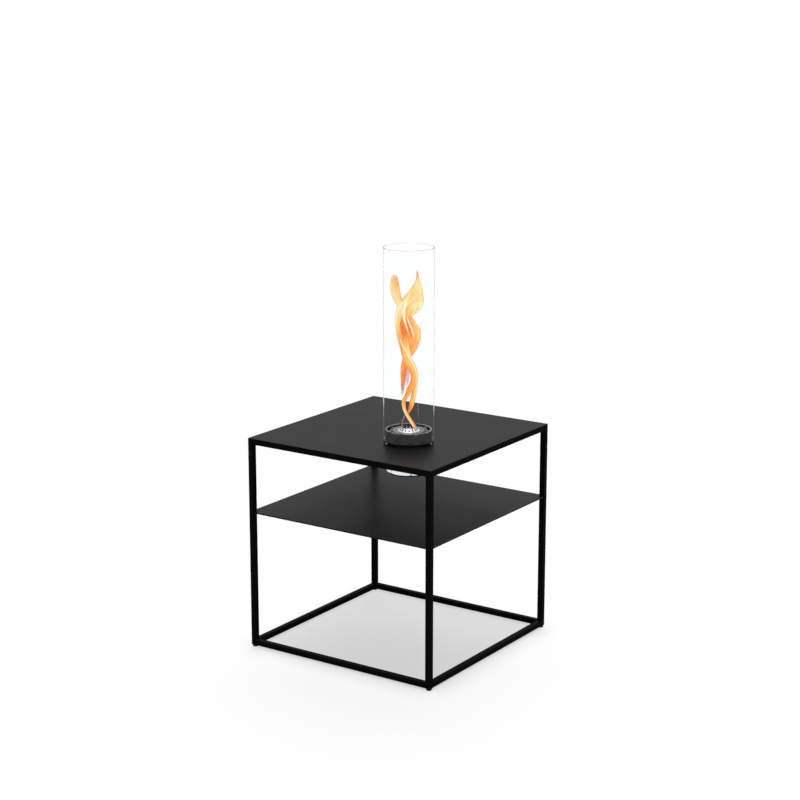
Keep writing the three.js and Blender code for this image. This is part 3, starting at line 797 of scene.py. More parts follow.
def add_wall_panel(bm, burner, index):
    """One panel of the wall, between two leaning slits, cut free along the flange at one foot."""
    columns, levels, sunk = 24, 7, 0.5 * MM
    flare_start = burner.wall_top - burner.flare_depth
    heights = [burner.flange_top - sunk, burner.flange_top + burner.foot_cut]
    heights += [heights[1] + (flare_start - heights[1]) * step / levels
                for step in range(1, levels + 1)]
    heights += [burner.wall_top - 0.5 * burner.flare_depth, burner.wall_top]
    rows = len(heights) - 1
    panel = bmesh.new()
    for vert, column, row in grid_places(panel, columns, rows):
        height = heights[row]
        flare = burner.slit_flare * max(0.0, (height - flare_start) / burner.flare_depth)
        half = (burner.slit_width / 2 + flare) / burner.wall_radius
        start = slit_angle(burner, index, height) + half
        end = slit_angle(burner, index + 1, height) - half
        angle = start + (end - start) * column / columns
        vert.co = cylinder_point(burner.wall_radius, angle, height)
    foot = slit_angle(burner, index, burner.flange_top)
    cut_off = []
    for face in panel.faces:
        centre = face.calc_center_median()
        turn = (math.atan2(centre.y, centre.x) - foot) % math.tau
        if centre.z < heights[1] and turn < burner.foot_cut_span:
            cut_off.append(face)
    bmesh.ops.delete(panel, geom=cut_off, context="FACES")
    narrower = (burner.wall_radius - burner.wall_thickness) / burner.wall_radius
    bmesh.ops.scale(panel, vec=(narrower, narrower, 1.0), verts=extruded(panel))
    seal(panel)
    soften(panel, burner.ring_edge, angle=50)
    merge_into(bm, panel)


def add_vane(bm, burner, index):
    """A guide vane from the hub to the wall, that leans with its slit."""
    sunk = 0.25 * MM
    inner = burner.hub_inside + burner.hub_thickness / 2
    outer = burner.wall_radius - burner.wall_thickness / 2
    bottom = burner.flange_top + burner.foot_cut - sunk
    top = burner.wall_top - burner.vane_drop
    columns, rows = 4, 12
    vane = bmesh.new()
    for vert, column, row in grid_places(vane, columns, rows):
        height = bottom + (top - bottom) * row / rows
        radius = inner + (outer - inner) * column / columns
        offset = burner.slit_width / 2 / (burner.wall_radius - burner.wall_thickness)
        vert.co = cylinder_point(radius, slit_angle(burner, index, height) + offset, height)
    turn = burner.vane_thickness / ((inner + outer) / 2)
    bmesh.ops.rotate(vane, cent=(0, 0, 0), matrix=Matrix.Rotation(turn, 3, "Z"),
                     verts=extruded(vane))
    seal(vane)
    soften(vane, 0.6 * burner.ring_edge, angle=50)
    merge_into(bm, vane)


def add_ring_spin(bm, profile, edge, steps=180):
    """A ring with rounded edges, spun from a closed profile."""
    ring = lathed(profile, steps, ring=True)
    soften(ring, edge)
    merge_into(bm, ring)


def lug_inside(burner):
    """Inner face of the lugs, whose edges clear the inside of the pot."""
    inside = burner.pot_radius - burner.pot_wall - LUG_GAP
    return math.sqrt(inside ** 2 - (LUG_WIDTH / 2) ** 2) - LUG_SHEET


def lug_angles():
    return [math.tau * (index + 0.5) / 3 for index in range(3)]


def add_lug(bm, burner, angle):
    """An arm under the ring, with a tongue that hangs inside the pot."""
    inside = lug_inside(burner)
    mid_wall = burner.wall_radius - burner.wall_thickness / 2
    flange_mid = (burner.air_gap + burner.flange_top) / 2
    arm_size = (mid_wall - inside, LUG_WIDTH, burner.flange_top - burner.air_gap)
    arm_place = ((mid_wall + inside) / 2, 0.0, flange_mid)
    drop_size = (LUG_SHEET, LUG_WIDTH, flange_mid + LUG_DEPTH)
    drop_place = (inside + LUG_SHEET / 2, 0.0, (flange_mid - LUG_DEPTH) / 2)
    for size, place in ((arm_size, arm_place), (drop_size, drop_place)):
        block = bmesh.new()
        matrix = Matrix.Rotation(angle, 4, "Z") @ Matrix.Translation(place)
        bmesh.ops.create_cube(block, size=1.0, matrix=matrix @ Matrix.Diagonal((*size, 1.0)))
        soften(block, burner.ring_edge)
        merge_into(bm, block)


class FIREPLACE_OT_swirl_ring(bpy.types.Operator):
    """Make the swirl ring: flange, wall with leaning slits, vanes, hub, lugs and spacers"""

    bl_idname = "fireplace.swirl_ring"
    bl_label = "Swirl ring"

    def execute(self, context):
        burner = sizes("burner_sizes")
        wall_inside = burner.wall_radius - burner.wall_thickness
        bm = bmesh.new()
        lip = burner.flange_top - burner.flange_lip
        add_ring_spin(bm, [(wall_inside, burner.air_gap), (burner.flange_foot, burner.air_gap),
                           (burner.flange_radius, lip), (burner.flange_radius, burner.flange_top),
                           (wall_inside, burner.flange_top)], burner.ring_edge)
        hub_outside = burner.hub_inside + burner.hub_thickness
        hub_top = burner.wall_top - burner.vane_drop
        add_ring_spin(bm, [(burner.hub_inside, burner.hub_bottom), (hub_outside, burner.hub_bottom),
                           (hub_outside, hub_top), (burner.hub_inside, hub_top)], burner.ring_edge)
        for index in range(burner.vane_count):
            add_wall_panel(bm, burner, index)
            add_vane(bm, burner, index)
        for angle in lug_angles():
            add_lug(bm, burner, angle)
            spacer = Matrix.Rotation(angle, 4, "Z")
            spacer = spacer @ Matrix.Translation((SPACER_CIRCLE, 0, SPACER_HEIGHT / 2))
            bmesh.ops.create_cone(bm, cap_ends=True, segments=32, radius1=SPACER_RADIUS,
                                  radius2=SPACER_RADIUS, depth=SPACER_HEIGHT, matrix=spacer)
        # Faces below the flange's top and faces inside the wall take the darker coat as painted
        # shade; the outer wall takes the lighter coat as painted light.
        margin = 0.3 * MM
        for face in bm.faces:
            centre = face.calc_center_median()
            low = centre.z < burner.flange_top + 0.01 * MM
            inner = centre.xy.length < wall_inside + margin and centre.z < hub_top - margin
            face.material_index = int(low or inner)
        place_in_burner(bm)
        finishes = sizes("finishes")
        finish = {"grain": 0.4 * MM, "depth": 0.012 * MM, "roughness": 0.42}
        upper = coat_material("swirl ring lit coat", finishes.ring_coat, gloss=0.3, **finish)
        lower = coat_material("swirl ring shaded coat", finishes.ring_shaded_coat, gloss=0.1, **finish)
        finished(bm, "swirl_ring_cast", [upper, lower], "burner_insert",
                 ["swirl_ring"])
        return {"FINISHED"}


class FIREPLACE_OT_pot(bpy.types.Operator):
    """Make the pot that hangs in the hole, and its rivets"""

    bl_idname = "fireplace.pot"
    bl_label = "Pot"

    def execute(self, context):
        burner = sizes("burner_sizes")
        bottom, top = burner_heights("burner_pot")
        radius, wall, corner = burner.pot_radius, burner.pot_wall, burner.pot_corner
        press, press_inner, press_outer = 0.4 * MM, radius - 14 * MM, radius - 12 * MM
        neck = -4 * MM
        bm = lathed([(0, bottom + press), (press_inner, bottom + press), (press_outer, bottom),
                     *arc((radius - corner, bottom + corner), corner, -90, 0, 10), (radius, neck),
                     *arc((radius - wall / 2, top - wall / 2), wall / 2, 0, 180),
                     (radius - wall, neck),
                     *arc((radius - corner, bottom + corner), corner - wall, 0, -90, 10),
                     (0, bottom + wall)], 144)
        # Above its neck the pot takes the dark steel as painted shade, in the gap under the flange.
        for face in bm.faces:
            face.material_index = int(face.calc_center_median().z > neck)
        place_in_burner(bm)
        steel = steel_material("pot steel", dimmed(sizes("finishes").steel, 1.2), 0.04,
                               spacing=0.35 * MM)
        finished(bm, "burner_pot_shell", [steel, soot_and_shade_material()], "burner_insert",
                 ["burner_pot"])
        rivet_steel = steel_material("rivet steel", sizes("finishes").zinc, 0.3)
        for index, angle in enumerate(lug_angles()):
            self.make_rivet(burner, index, angle, rivet_steel)
        return {"FINISHED"}

    @staticmethod
    def make_rivet(burner, index, angle, material):
        """A domed head outside the pot, a shank, and a flat closing head inside the lug."""
        outer = burner.pot_radius + RIVET_SEAT
        inner = lug_inside(burner) - RIVET_SEAT
        bm = lathed([*((radius * MM, inner + height * MM) for radius, height in RIVET_CLOSING),
                     (RIVET_SHANK, inner), (RIVET_SHANK, outer),
                     *((radius * MM, outer + height * MM) for radius, height in RIVET_DOME)], 40)
        turn = Matrix.Rotation(angle, 4, "Z") @ Matrix.Translation((0, 0, RIVET_LEVEL))
        lie = Matrix.Rotation(math.pi / 2, 4, "Y")
        bmesh.ops.transform(bm, matrix=burner_place() @ turn @ lie, verts=bm.verts)
        finished(bm, f"rivet_{index + 1}_domed", [material], "burner_insert",
                 [f"pot_rivet_{index + 1}"])


class FIREPLACE_OT_fuel_can(bpy.types.Operator):
    """Make the fuel can, its wool, the dished plate and the slotted crown"""

    bl_idname = "fireplace.fuel_can"
    bl_label = "Fuel can"

    def execute(self, context):
        burner = sizes("burner_sizes")
        steel = sizes("finishes").steel
        self.make_can(burner, steel_material("can steel", steel, 0.2))
        self.make_wool(burner)
        # The plate's steel is darkened to 0.29 of the steel's tint as painted shade, for the plate
        # sunk inside the ring.
        self.make_plate(burner, steel_material("plate steel", dimmed(steel, 0.29), 0.22,
                                               spacing=0.5 * MM))
        self.make_crown(burner, steel_material("crown steel", dimmed(steel, 1.25), 0.45,
                                               spacing=0.3 * MM))
        return {"FINISHED"}

    @staticmethod
    def make_can(burner, material):
        bottom, top = burner_heights("fuel_can")
        radius, wall, corner = burner.can_radius, burner.can_wall, 3 * MM
        bm = lathed([(0, bottom), *arc((radius - corner, bottom + corner), corner, -90, 0),
                     *arc((radius - wall / 2, top - wall / 2), wall / 2, 0, 180),
                     *arc((radius - corner, bottom + corner), corner - wall, 0, -90),
                     (0, bottom + wall)], 120)
        place_in_burner(bm)
        finished(bm, "fuel_can_shell", [material], "fuel_can_set", ["fuel_can"])

    @staticmethod
    def make_wool(burner):
        bottom, top = burner_heights("ceramic_wool")
        gap, edge, dents, dents_per_metre = 0.6 * MM, 2 * MM, 0.35 * MM, 260
        radius = burner.can_radius - burner.can_wall - gap
        profile = [(0, bottom), (radius - edge, bottom), (radius, bottom + edge)]
        profile += [(radius, bottom + edge + (top - bottom - 2 * edge) * step / 8)
                    for step in range(1, 8)]
        profile += arc((radius - edge, top - edge), edge, 0, 90, 4)
        profile += [(radius * step / 16, top) for step in range(14, -1, -1)]
        bm = lathed(profile, 72)
        for vert in bm.verts:
            vert.co -= dents * abs(noise.noise(vert.co * dents_per_metre)) * vert.normal
        place_in_burner(bm)
        finished(bm, "wool_block", [wool_material()], "fuel_can_set", ["ceramic_wool"],
                 smooth=60)

    @staticmethod
    def make_plate(burner, material):
        top, sheet = burner.plate_top, PLATE_SHEET
        flat = top - burner.plate_dish
        low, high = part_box("can_plate")
        rim = (high.x - low.x) / 2
        hole, knee, shoulder, shaded_rim_edge = 17.25 * MM, 20 * MM, rim - 3 * MM, rim - 2.5 * MM
        skirt, hem = top - 5 * MM, 0.2 * MM
        bm = lathed([(hole, flat - sheet), (knee, flat - sheet), (shoulder, top - sheet - 0.1 * MM),
                     (rim - sheet, top - 1.4 * sheet), (rim - sheet, skirt), (rim, skirt),
                     *arc((rim - sheet, top - sheet), sheet, 0, 90),
                     (rim - 2.2 * MM, top - 0.06 * MM), (shoulder, top - 0.08 * MM),
                     (knee + 1.5 * MM, flat + 0.06 * MM), (knee, flat),
                     (hole + hem, flat), (hole, flat - hem)], 144, ring=True)
        # Faces outside this edge, next to the ring's wall, take the dark steel as painted shade.
        for face in bm.faces:
            face.material_index = int(face.calc_center_median().xy.length > shaded_rim_edge)
        place_in_burner(bm)
        finished(bm, "can_plate_pressed", [material, soot_and_shade_material()], "fuel_can_set",
                 ["can_plate"], smooth=40)

    @staticmethod
    def make_crown(burner, material):
        """A slotted cone, black inside, on a ring that hangs in the plate's hole."""
        edge, slot_reach, skirt, skirt_depth = 0.15 * MM, 2 * MM, 16.75 * MM, 6 * MM
        seat = burner.plate_top - burner.plate_dish
        foot = seat + PLATE_SHEET
        mouth = seat + burner.crown_height
        lower, upper = (foot + mouth) / 2 - slot_reach, (foot + mouth) / 2 + slot_reach
        slope = (burner.crown_mouth - burner.crown_base) / (mouth - foot)
        cone = [(burner.crown_base + slope * (height - foot), height)
                for height in (foot, lower, upper, mouth)]
        # Steps of the spin from slot to slot, and across a slot.
        pitch, opening = 16, 6
        steps = pitch * burner.crown_slots
        shell = lathed(cone, steps)
        slots = []
        for face in shell.faces:
            centre = face.calc_center_median()
            step = int((math.atan2(centre.y, centre.x) % math.tau) / math.tau * steps)
            if lower < centre.z < upper and (step + opening // 2) % pitch < opening:
                slots.append(face)
        bmesh.ops.delete(shell, geom=slots, context="FACES")
        outwards = sum(face.normal.dot(face.calc_center_median()) for face in shell.faces)
        if outwards < 0:
            bmesh.ops.reverse_faces(shell, faces=shell.faces[:])
        bmesh.ops.solidify(shell, geom=shell.faces[:], thickness=burner.crown_sheet)
        seal(shell)
        for face in shell.faces:
            centre = face.calc_center_median()
            face.material_index = int(face.normal.x * centre.x + face.normal.y * centre.y < 0)
        soften(shell, edge, segments=2, angle=50)
        bm = bmesh.new()
        merge_into(bm, shell)
        inner, lip = skirt - burner.crown_sheet, burner.crown_base + 1 * MM
        add_ring_spin(bm, [(inner, seat - skirt_depth), (skirt, seat - skirt_depth),
                           (skirt, seat), (lip, seat), (lip, foot), (burner.crown_base, foot),
                           (inner, foot + 0.5 * MM)], edge, 120)
        place_in_burner(bm)
        finished(bm, "flame_crown_slotted", [material, soot_and_shade_material()], "fuel_can_set",
                 ["flame_crown"])


class FIREPLACE_OT_glass(bpy.types.Operator):
    """Make the glass tube, with fire-polished ends"""

    bl_idname = "fireplace.glass"
    bl_label = "Glass tube"

    def execute(self, context):
        burner = sizes("burner_sizes")
        outside = (GLASS_HIGH.x - GLASS_LOW.x) / 2
        inside = outside - burner.glass_wall
        bottom, top = GLASS_LOW.z, GLASS_HIGH.z
        edge = burner.glass_edge
        bm = lathed([*arc((inside + edge, bottom + edge), edge, 180, 270, 5),
                     *arc((outside - edge, bottom + edge), edge, -90, 0, 5),
                     *arc((outside - edge, top - edge), edge, 0, 90, 5),
                     *arc((inside + edge, top - edge), edge, 90, 180, 5)], 160, ring=True)
        bmesh.ops.translate(bm, vec=(BURNER_AXIS.x, BURNER_AXIS.y, 0), verts=bm.verts)
        finished(bm, "glass_tube_clear", [glass_material()], "glass",
                 ["glass_tube"])
        return {"FINISHED"}


# ---------------------------------------------------------------- the flame


# The flame's colours, from violet over salmon, red, orange and yellow to nearly white.
FLAME_TONES = [
    (0.00, (0.62, 0.50, 0.72)), (0.15, (0.90, 0.36, 0.27)), (0.30, (0.90, 0.17, 0.04)),
    (0.48, (1.00, 0.34, 0.07)), (0.66, (1.00, 0.58, 0.20)), (0.84, (1.00, 0.85, 0.42)),
    (1.00, (1.00, 0.98, 0.86))]
FLAME_LAYERS = ("side", "climb", "strand", "tone", "outline", "opacity")

# Each strand is a flattened tongue of gas: its density, the share of its rows in which its ends
# fade, how high its right edge has an outline (at 0, neither edge has one), and its rows. A row is
# its height over the tabletop, its middle to the right of the burner's axis, half its width and
# its depth behind the axis, in millimetres, and the tones of its left and right edges.
FLAME_STRANDS = {
    "main": (0.96, 0.03, 140, [
        (27, 11.5, 2.5, -1, 0.80, 0.50), (32, 9.0, 3.4, -2, 0.85, 0.50),
        (38, 5.8, 3.6, -4, 0.88, 0.48), (47, 0.4, 3.7, -6, 0.90, 0.50),
        (56, -4.6, 3.4, -7, 0.90, 0.55), (65, -8.0, 3.4, -7, 0.85, 0.50),
        (78, -8.8, 4.0, -6, 0.60, 0.48), (91, -1.6, 5.2, -6, 0.45, 0.55),
        (102, 3.1, 6.2, -7, 0.42, 0.60), (117, 9.6, 6.4, -7, 0.42, 0.72),
        (131, 9.0, 7.0, -7, 0.45, 0.75), (146, 2.2, 8.6, -8, 0.55, 0.75),
        (160, -3.5, 8.7, -8, 0.55, 0.80), (174, -7.0, 8.2, -7, 0.48, 0.80),
        (188, -10.2, 8.7, -6, 0.50, 0.62), (207, -12.7, 10.4, -5, 0.72, 0.32),
        (225, -14.2, 10.5, -4, 0.90, 0.34), (240, -13.0, 10.4, -3, 0.92, 0.55),
        (253, -6.8, 12.6, -2, 0.88, 0.70), (262, 1.7, 14.6, -2, 0.80, 0.72),
        (271, 7.8, 14.0, -2, 0.74, 0.76), (280, 12.5, 10.8, -1, 0.70, 0.82),
        (290, 15.2, 7.0, 0, 0.72, 0.86), (299, 16.4, 3.8, 1, 0.70, 0.82),
        (308, 15.2, 1.8, 2, 0.48, 0.60), (316, 14.2, 0.3, 2, 0.34, 0.34)]),
    "right": (0.94, 0.04, 400, [
        (52, -1.5, 0.6, -1, 0.30, 0.36), (58, 1.0, 2.6, 1, 0.28, 0.48),
        (66, 4.0, 4.2, 3, 0.32, 0.62), (75, 6.4, 4.8, 4, 0.40, 0.74),
        (88, 9.2, 4.4, 4, 0.45, 0.82), (102, 11.4, 4.4, 3, 0.48, 0.84),
        (118, 12.2, 4.2, 1, 0.50, 0.80), (132, 10.8, 4.6, -2, 0.50, 0.70),
        (146, 6.0, 5.2, -3, 0.50, 0.60), (160, -0.8, 4.6, -2, 0.50, 0.50),
        (176, -9.0, 3.6, 0, 0.48, 0.48), (192, -15.6, 1.6, 2, 0.45, 0.45),
        (200, -17.4, 0.3, 3, 0.40, 0.40)]),
    "left": (0.86, 0.08, 400, [
        (84, -12.2, 0.3, 4, 0.20, 0.05), (92, -11.4, 1.6, 5, 0.22, 0.05),
        (101, -10.6, 3.0, 6, 0.42, 0.10), (115, -9.8, 4.4, 7, 0.54, 0.14),
        (129, -9.2, 5.7, 7, 0.58, 0.18), (142, -7.4, 6.6, 6, 0.56, 0.34),
        (157, -2.6, 7.8, 5, 0.50, 0.46), (170, 3.6, 10.0, 4, 0.46, 0.58),
        (188, 7.4, 13.3, 4, 0.40, 0.66), (207, 7.4, 13.3, 4, 0.36, 0.74),
        (218, 3.4, 10.2, 4, 0.34, 0.72), (231, -2.0, 7.8, 4, 0.34, 0.62),
        (246, -7.0, 5.2, 4, 0.45, 0.60), (258, -12.2, 2.6, 4, 0.50, 0.60),
        (268, -14.5, 0.4, 4, 0.50, 0.60)]),
    "right_tip": (0.94, 0.03, 400, [
        (222, -1.5, 1.0, 2, 0.50, 0.55), (231, 0.8, 4.4, 3, 0.55, 0.70),
        (240, 6.4, 11.0, 4, 0.66, 0.84), (251, 9.4, 15.2, 5, 0.72, 0.86),
        (262, 10.0, 16.6, 5, 0.74, 0.86), (272, 11.6, 13.6, 5, 0.72, 0.84),
        (283, 14.4, 9.2, 4, 0.70, 0.82), (294, 16.8, 4.6, 3, 0.62, 0.78),
        (304, 16.4, 1.6, 3, 0.48, 0.60), (310, 15.6, 0.3, 3, 0.34, 0.34)]),
    "left_tip": (0.92, 0.36, 400, [
        (218, -9.6, 0.4, 2, 0.90, 0.78), (228, -10.9, 0.5, 2, 0.90, 0.76),
        (236, -12.6, 0.8, 1, 0.90, 0.75), (246, -14.4, 3.2, 0, 0.95, 0.72),
        (256, -17.6, 6.4, -1, 0.90, 0.66), (268, -21.8, 8.2, -2, 0.84, 0.66),
        (281, -24.2, 8.3, -2, 0.84, 0.62), (293, -25.4, 7.2, -1, 0.72, 0.52),
        (301, -25.4, 5.6, 0, 0.56, 0.44), (306, -25.2, 3.4, 1, 0.46, 0.38),
        (309, -25.1, 0.5, 1, 0.42, 0.38)]),
    "pale_stream": (0.95, 0.22, 0, [
        (196, 1.5, 0.5, -11, 0.90, 0.90), (209, -2.4, 1.3, -11, 0.95, 0.92),
        (222, -6.0, 2.0, -11, 1.00, 0.95), (232, -8.2, 2.7, -11, 1.00, 0.95),
        (243, -8.6, 3.0, -10, 1.00, 0.98), (256, -6.2, 2.6, -10, 0.98, 0.92),
        (268, -1.8, 1.8, -9, 0.92, 0.88), (280, 3.4, 0.8, -8, 0.88, 0.86)]),
    "pale_streak": (0.90, 0.30, 0, [
        (192, 10.5, 0.6, -5, 0.88, 0.85), (203, 7.6, 1.5, -6, 0.92, 0.88),
        (215, 3.2, 1.8, -8, 0.94, 0.88), (228, -1.5, 1.6, -9, 0.90, 0.86),
        (240, -3.6, 0.8, -9, 0.86, 0.84)]),
    "red_lobe": (0.80, 0.30, 0, [
        (190, -9.5, 0.8, -11, 0.36, 0.36), (202, -10.6, 2.6, -12, 0.32, 0.34),
        (214, -12.4, 3.6, -12, 0.30, 0.34), (225, -13.0, 3.0, -12, 0.34, 0.38),
        (234, -12.4, 1.2, -11, 0.40, 0.42)]),
    "red_middle": (0.85, 0.30, 0, [
        (190, 5.6, 0.6, -4, 0.32, 0.32), (200, 3.4, 1.9, -5, 0.28, 0.32),
        (211, 0.4, 2.0, -6, 0.30, 0.34), (222, -2.2, 0.8, -8, 0.36, 0.38)]),
    "crossing_line": (0.95, 0.16, 0, [
        (88, 12.6, 0.5, -3, 0.85, 0.80), (104, 14.2, 1.1, -5, 0.88, 0.84),
        (122, 14.6, 1.3, -9, 0.92, 0.86), (137, 12.4, 1.4, -11, 0.96, 0.88),
        (150, 6.4, 1.4, -13, 0.98, 0.90), (163, -1.0, 1.4, -14, 0.98, 0.90),
        (176, -8.0, 1.5, -12, 0.96, 0.88), (190, -14.6, 1.3, -9, 0.92, 0.85),
        (204, -19.2, 0.8, -7, 0.88, 0.84)]),
    "violet_gap": (0.68, 0.30, 0, [
        (96, -4.0, 0.8, 8, 0.05, 0.02), (108, -3.0, 3.0, 9, 0.08, 0.04),
        (122, -1.5, 4.4, 9, 0.11, 0.07), (136, -1.2, 4.8, 8, 0.13, 0.11),
        (148, -1.6, 3.0, 8, 0.14, 0.12)]),
    "left_wisp": (0.22, 0.30, 0, [
        (31, -12.4, 0.6, -4, 0.14, 0.14), (40, -11.6, 1.2, -5, 0.14, 0.12),
        (50, -7.8, 1.4, -6, 0.16, 0.12), (60, -3.0, 0.8, -6, 0.18, 0.14)]),
    "right_wisp": (0.12, 0.30, 0, [
        (40, 18.2, 0.5, 2, 0.14, 0.12), (56, 17.4, 1.0, 2, 0.14, 0.12),
        (72, 16.2, 1.1, 2, 0.16, 0.12), (88, 15.6, 0.6, 2, 0.16, 0.14)]),
}


def smooth_row(rows, part):
    """A row of a strand at a part of its length, on a smooth curve through its rows."""
    place = part * (len(rows) - 1)
    index = min(int(place), len(rows) - 2)
    t = place - index
    before = rows[max(index - 1, 0)]
    here, after = rows[index], rows[index + 1]
    beyond = rows[min(index + 2, len(rows) - 1)]
    return [0.5 * (2 * b + (c - a) * t + (2 * a - 5 * b + 4 * c - d) * t ** 2
                   + (3 * b - a - 3 * c + d) * t ** 3)
            for a, b, c, d in zip(before, here, after, beyond)]


class FIREPLACE_OT_flame(bpy.types.Operator):
    """Make the flame: tongues of glowing gas that wind round each other"""

    bl_idname = "fireplace.flame"
    bl_label = "Flame"

    def execute(self, context):
        material = flame_material()
        stage = sizes("stage_settings")
        across = Vector((math.cos(stage.azimuth), math.sin(stage.azimuth), 0.0))
        behind = Vector((-math.sin(stage.azimuth), math.cos(stage.azimuth), 0.0))
        for number, (name, strand) in enumerate(FLAME_STRANDS.items()):
            density, fade, outline_top, rows = strand
            bm = bmesh.new()
            layers = {layer: bm.verts.layers.float.new(layer) for layer in FLAME_LAYERS}
            around, up = 32, 8 * len(rows)
            least, outline_width = 0.15, 0.8
            flatness, least_thickness = 0.42, 0.4
            for vert, column, row in grid_places(bm, around, up):
                height, centre, half, depth, left, right = smooth_row(rows, row / up)
                half = max(half, least)
                angle = math.tau * column / around
                side = math.cos(angle)
                thickness = flatness * half + least_thickness
                vert.co = BURNER_AXIS + across * (centre + half * side) * MM
                vert.co += behind * (depth + thickness * math.sin(angle)) * MM
                vert.co.z += height * MM
                ends = min(1.0, row / up / fade, (1 - row / up) / fade)
                inset = (1 - abs(side)) * half
                vert[layers["side"]] = side
                vert[layers["climb"]] = row / up
                vert[layers["strand"]] = float(number)
                vert[layers["tone"]] = left + (right - left) * (side + 1) / 2
                outlined = outline_top and (side < 0 or height < outline_top)
                outline = max(0.0, 1 - inset / outline_width)
                vert[layers["outline"]] = outline if outlined else 0.0
                thinning = 1.0 if outline_top else 1 - side ** 2
                vert[layers["opacity"]] = density * ends * thinning
            seal(bm)
            openings = [edge for edge in bm.edges if edge.is_boundary]
            bmesh.ops.holes_fill(bm, edges=openings, sides=0)
            bmesh.ops.recalc_face_normals(bm, faces=bm.faces)
            finished(bm, f"flame_{name}", [material], "fuel_can_set", smooth=60)
        return {"FINISHED"}


# ---------------------------------------------------------------- the stage


def seen_directly(tree):
    """1 for the rays that see the background: straight, in a mirror or through glass."""
    path = put(tree, "ShaderNodeLightPath").outputs
    seen = calc(tree, "MAXIMUM", path["Is Camera Ray"], path["Is Glossy Ray"])
    return calc(tree, "MAXIMUM", seen, path["Is Transmission Ray"])


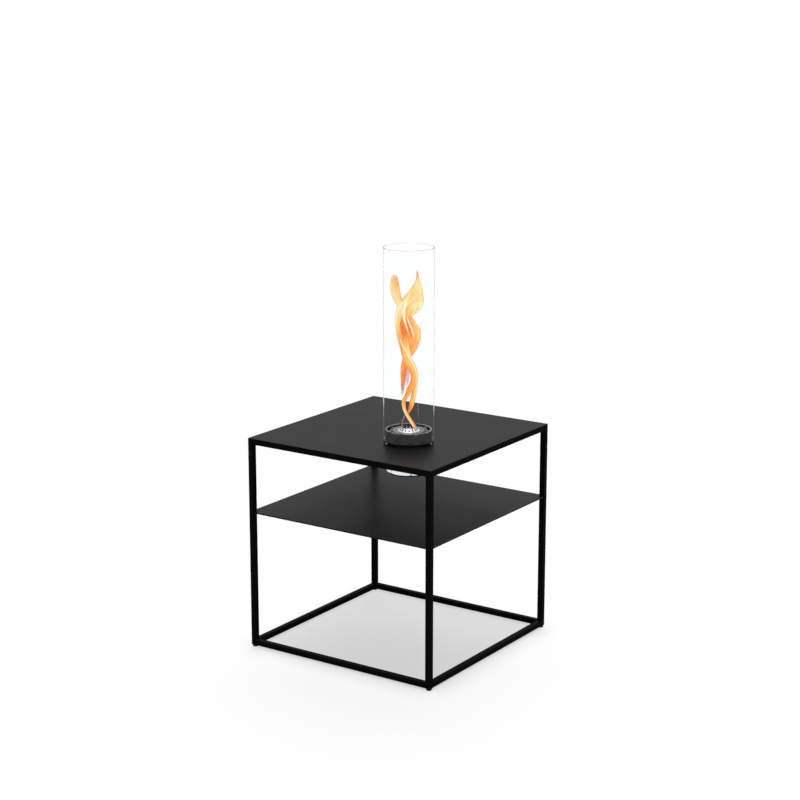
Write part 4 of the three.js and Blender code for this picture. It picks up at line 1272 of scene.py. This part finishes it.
class FIREPLACE_OT_stage(bpy.types.Operator):
    """Make the pale floor, the lamps, the white room and the camera"""

    bl_idname = "fireplace.stage"
    bl_label = "Stage"

    def execute(self, context):
        stage = sizes("stage_settings")
        self.make_floor(context)
        self.make_lamp(context, "key light", stage.key, turn=(-38, 0, 28), width=35)
        self.make_lamp(context, "overhead light", stage.overhead, turn=(0, 0, 0), width=14)
        self.make_room(context, stage)
        self.make_camera(context, stage)
        context.scene.view_settings.view_transform = "Standard"
        return {"FINISHED"}

    @staticmethod
    def make_floor(context):
        """A vast floor, brighter where it is seen than in the light that it scatters."""
        bm = bmesh.new()
        bmesh.ops.create_grid(bm, x_segments=1, y_segments=1, size=300.0)
        mesh = bpy.data.meshes.new("floor")
        bm.to_mesh(mesh)
        bm.free()
        floor = bpy.data.objects.new("floor", mesh)
        context.scene.collection.objects.link(floor)
        material, tree, surface, place = new_material("pale floor")
        shade = spread(tree, noise_level(tree, place, 1.5, 3.0), 0.3, 0.7, 0.985, 1.0)
        seen = seen_directly(tree)
        tone = blend_colours(tree, seen, grey(0.20), grey(0.38))
        tone = blend_colours(tree, 1.0, tone, shade, "MULTIPLY")
        close_material(tree, surface, {
            "Base Color": tone, "Roughness": 1.0, "Specular IOR Level": 0.0,
            "Emission Color": blend_colours(tree, seen, grey(0.0), grey(0.6)),
            "Emission Strength": 1.0})
        mesh.materials.append(material)

    @staticmethod
    def make_lamp(context, name, strength, turn, width):
        """A distant lamp, turned by degrees from straight down and some degrees wide."""
        lamp = bpy.data.lights.new(name, "SUN")
        lamp.energy = strength
        lamp.angle = math.radians(width)
        holder = bpy.data.objects.new(name, lamp)
        holder.rotation_euler = [math.radians(part) for part in turn]
        context.scene.collection.objects.link(holder)

    @staticmethod
    def make_room(context, stage):
        """White where it is seen; what it scatters and what steel mirrors have levels."""
        world = bpy.data.worlds.new("white room")
        world.use_nodes = True
        tree = world.node_tree
        tree.nodes.clear()
        output = put(tree, "ShaderNodeOutputWorld")
        path = put(tree, "ShaderNodeLightPath").outputs
        seen = calc(tree, "MAXIMUM", path["Is Camera Ray"], path["Is Transmission Ray"])
        level = spread(tree, path["Is Glossy Ray"], 0.0, 1.0, stage.room, stage.mirrored)
        level = calc(tree, "MAXIMUM", level, seen)
        room = put(tree, "ShaderNodeBackground", {"Color": grey(1.0), "Strength": level})
        tree.links.new(room.outputs[0], output.inputs["Surface"])
        arrange(tree)
        context.scene.world = world

    @staticmethod
    def make_camera(context, stage):
        camera = bpy.data.cameras.new("camera")
        camera.lens = stage.lens
        camera.sensor_width = 36.0
        camera.clip_end = 1000.0
        holder = bpy.data.objects.new("camera", camera)
        flat = math.cos(stage.elevation)
        back = Vector((math.sin(stage.azimuth) * flat, -math.cos(stage.azimuth) * flat,
                       math.sin(stage.elevation)))
        holder.location = Vector((0, 0, stage.aim_height)) + stage.distance * back
        holder.rotation_euler = (-back).to_track_quat("-Z", "Y").to_euler()
        context.scene.collection.objects.link(holder)
        context.scene.camera = holder


# ---------------------------------------------------------------- the add-on


GROUPS = {
    "table_sizes": TableSizes,
    "burner_sizes": BurnerSizes,
    "finishes": Finishes,
    "stage_settings": StageSettings,
}
OPERATORS = (
    FIREPLACE_OT_frame,
    FIREPLACE_OT_tabletop,
    FIREPLACE_OT_shelf,
    FIREPLACE_OT_feet,
    FIREPLACE_OT_swirl_ring,
    FIREPLACE_OT_pot,
    FIREPLACE_OT_fuel_can,
    FIREPLACE_OT_glass,
    FIREPLACE_OT_flame,
    FIREPLACE_OT_stage,
)


class FIREPLACE_PT_panel(bpy.types.Panel):
    """The fireplace's pieces, in the order in which they are made"""

    bl_label = "Fireplace"
    bl_idname = "FIREPLACE_PT_panel"
    bl_space_type = "VIEW_3D"
    bl_region_type = "UI"
    bl_category = "Fireplace"

    def draw(self, context):
        for operator in OPERATORS:
            self.layout.operator(operator.bl_idname)
        for name, group in GROUPS.items():
            box = self.layout.box()
            box.label(text=group.__doc__)
            for prop in group.__annotations__:
                box.prop(getattr(context.scene, name), prop)


def register():
    for cls in (*GROUPS.values(), *OPERATORS, FIREPLACE_PT_panel):
        bpy.utils.register_class(cls)
    for name, group in GROUPS.items():
        setattr(bpy.types.Scene, name, PointerProperty(type=group))


def unregister():
    for name in GROUPS:
        delattr(bpy.types.Scene, name)
    for cls in (*GROUPS.values(), *OPERATORS, FIREPLACE_PT_panel):
        bpy.utils.unregister_class(cls)


def main():
    register()
    bpy.ops.fireplace.stage()
    bpy.ops.fireplace.frame()
    bpy.ops.fireplace.tabletop()
    bpy.ops.fireplace.shelf()
    bpy.ops.fireplace.feet()
    bpy.ops.fireplace.swirl_ring()
    bpy.ops.fireplace.pot()
    bpy.ops.fireplace.fuel_can()
    bpy.ops.fireplace.glass()
    bpy.ops.fireplace.flame()


if __name__ == "__main__":
    main()
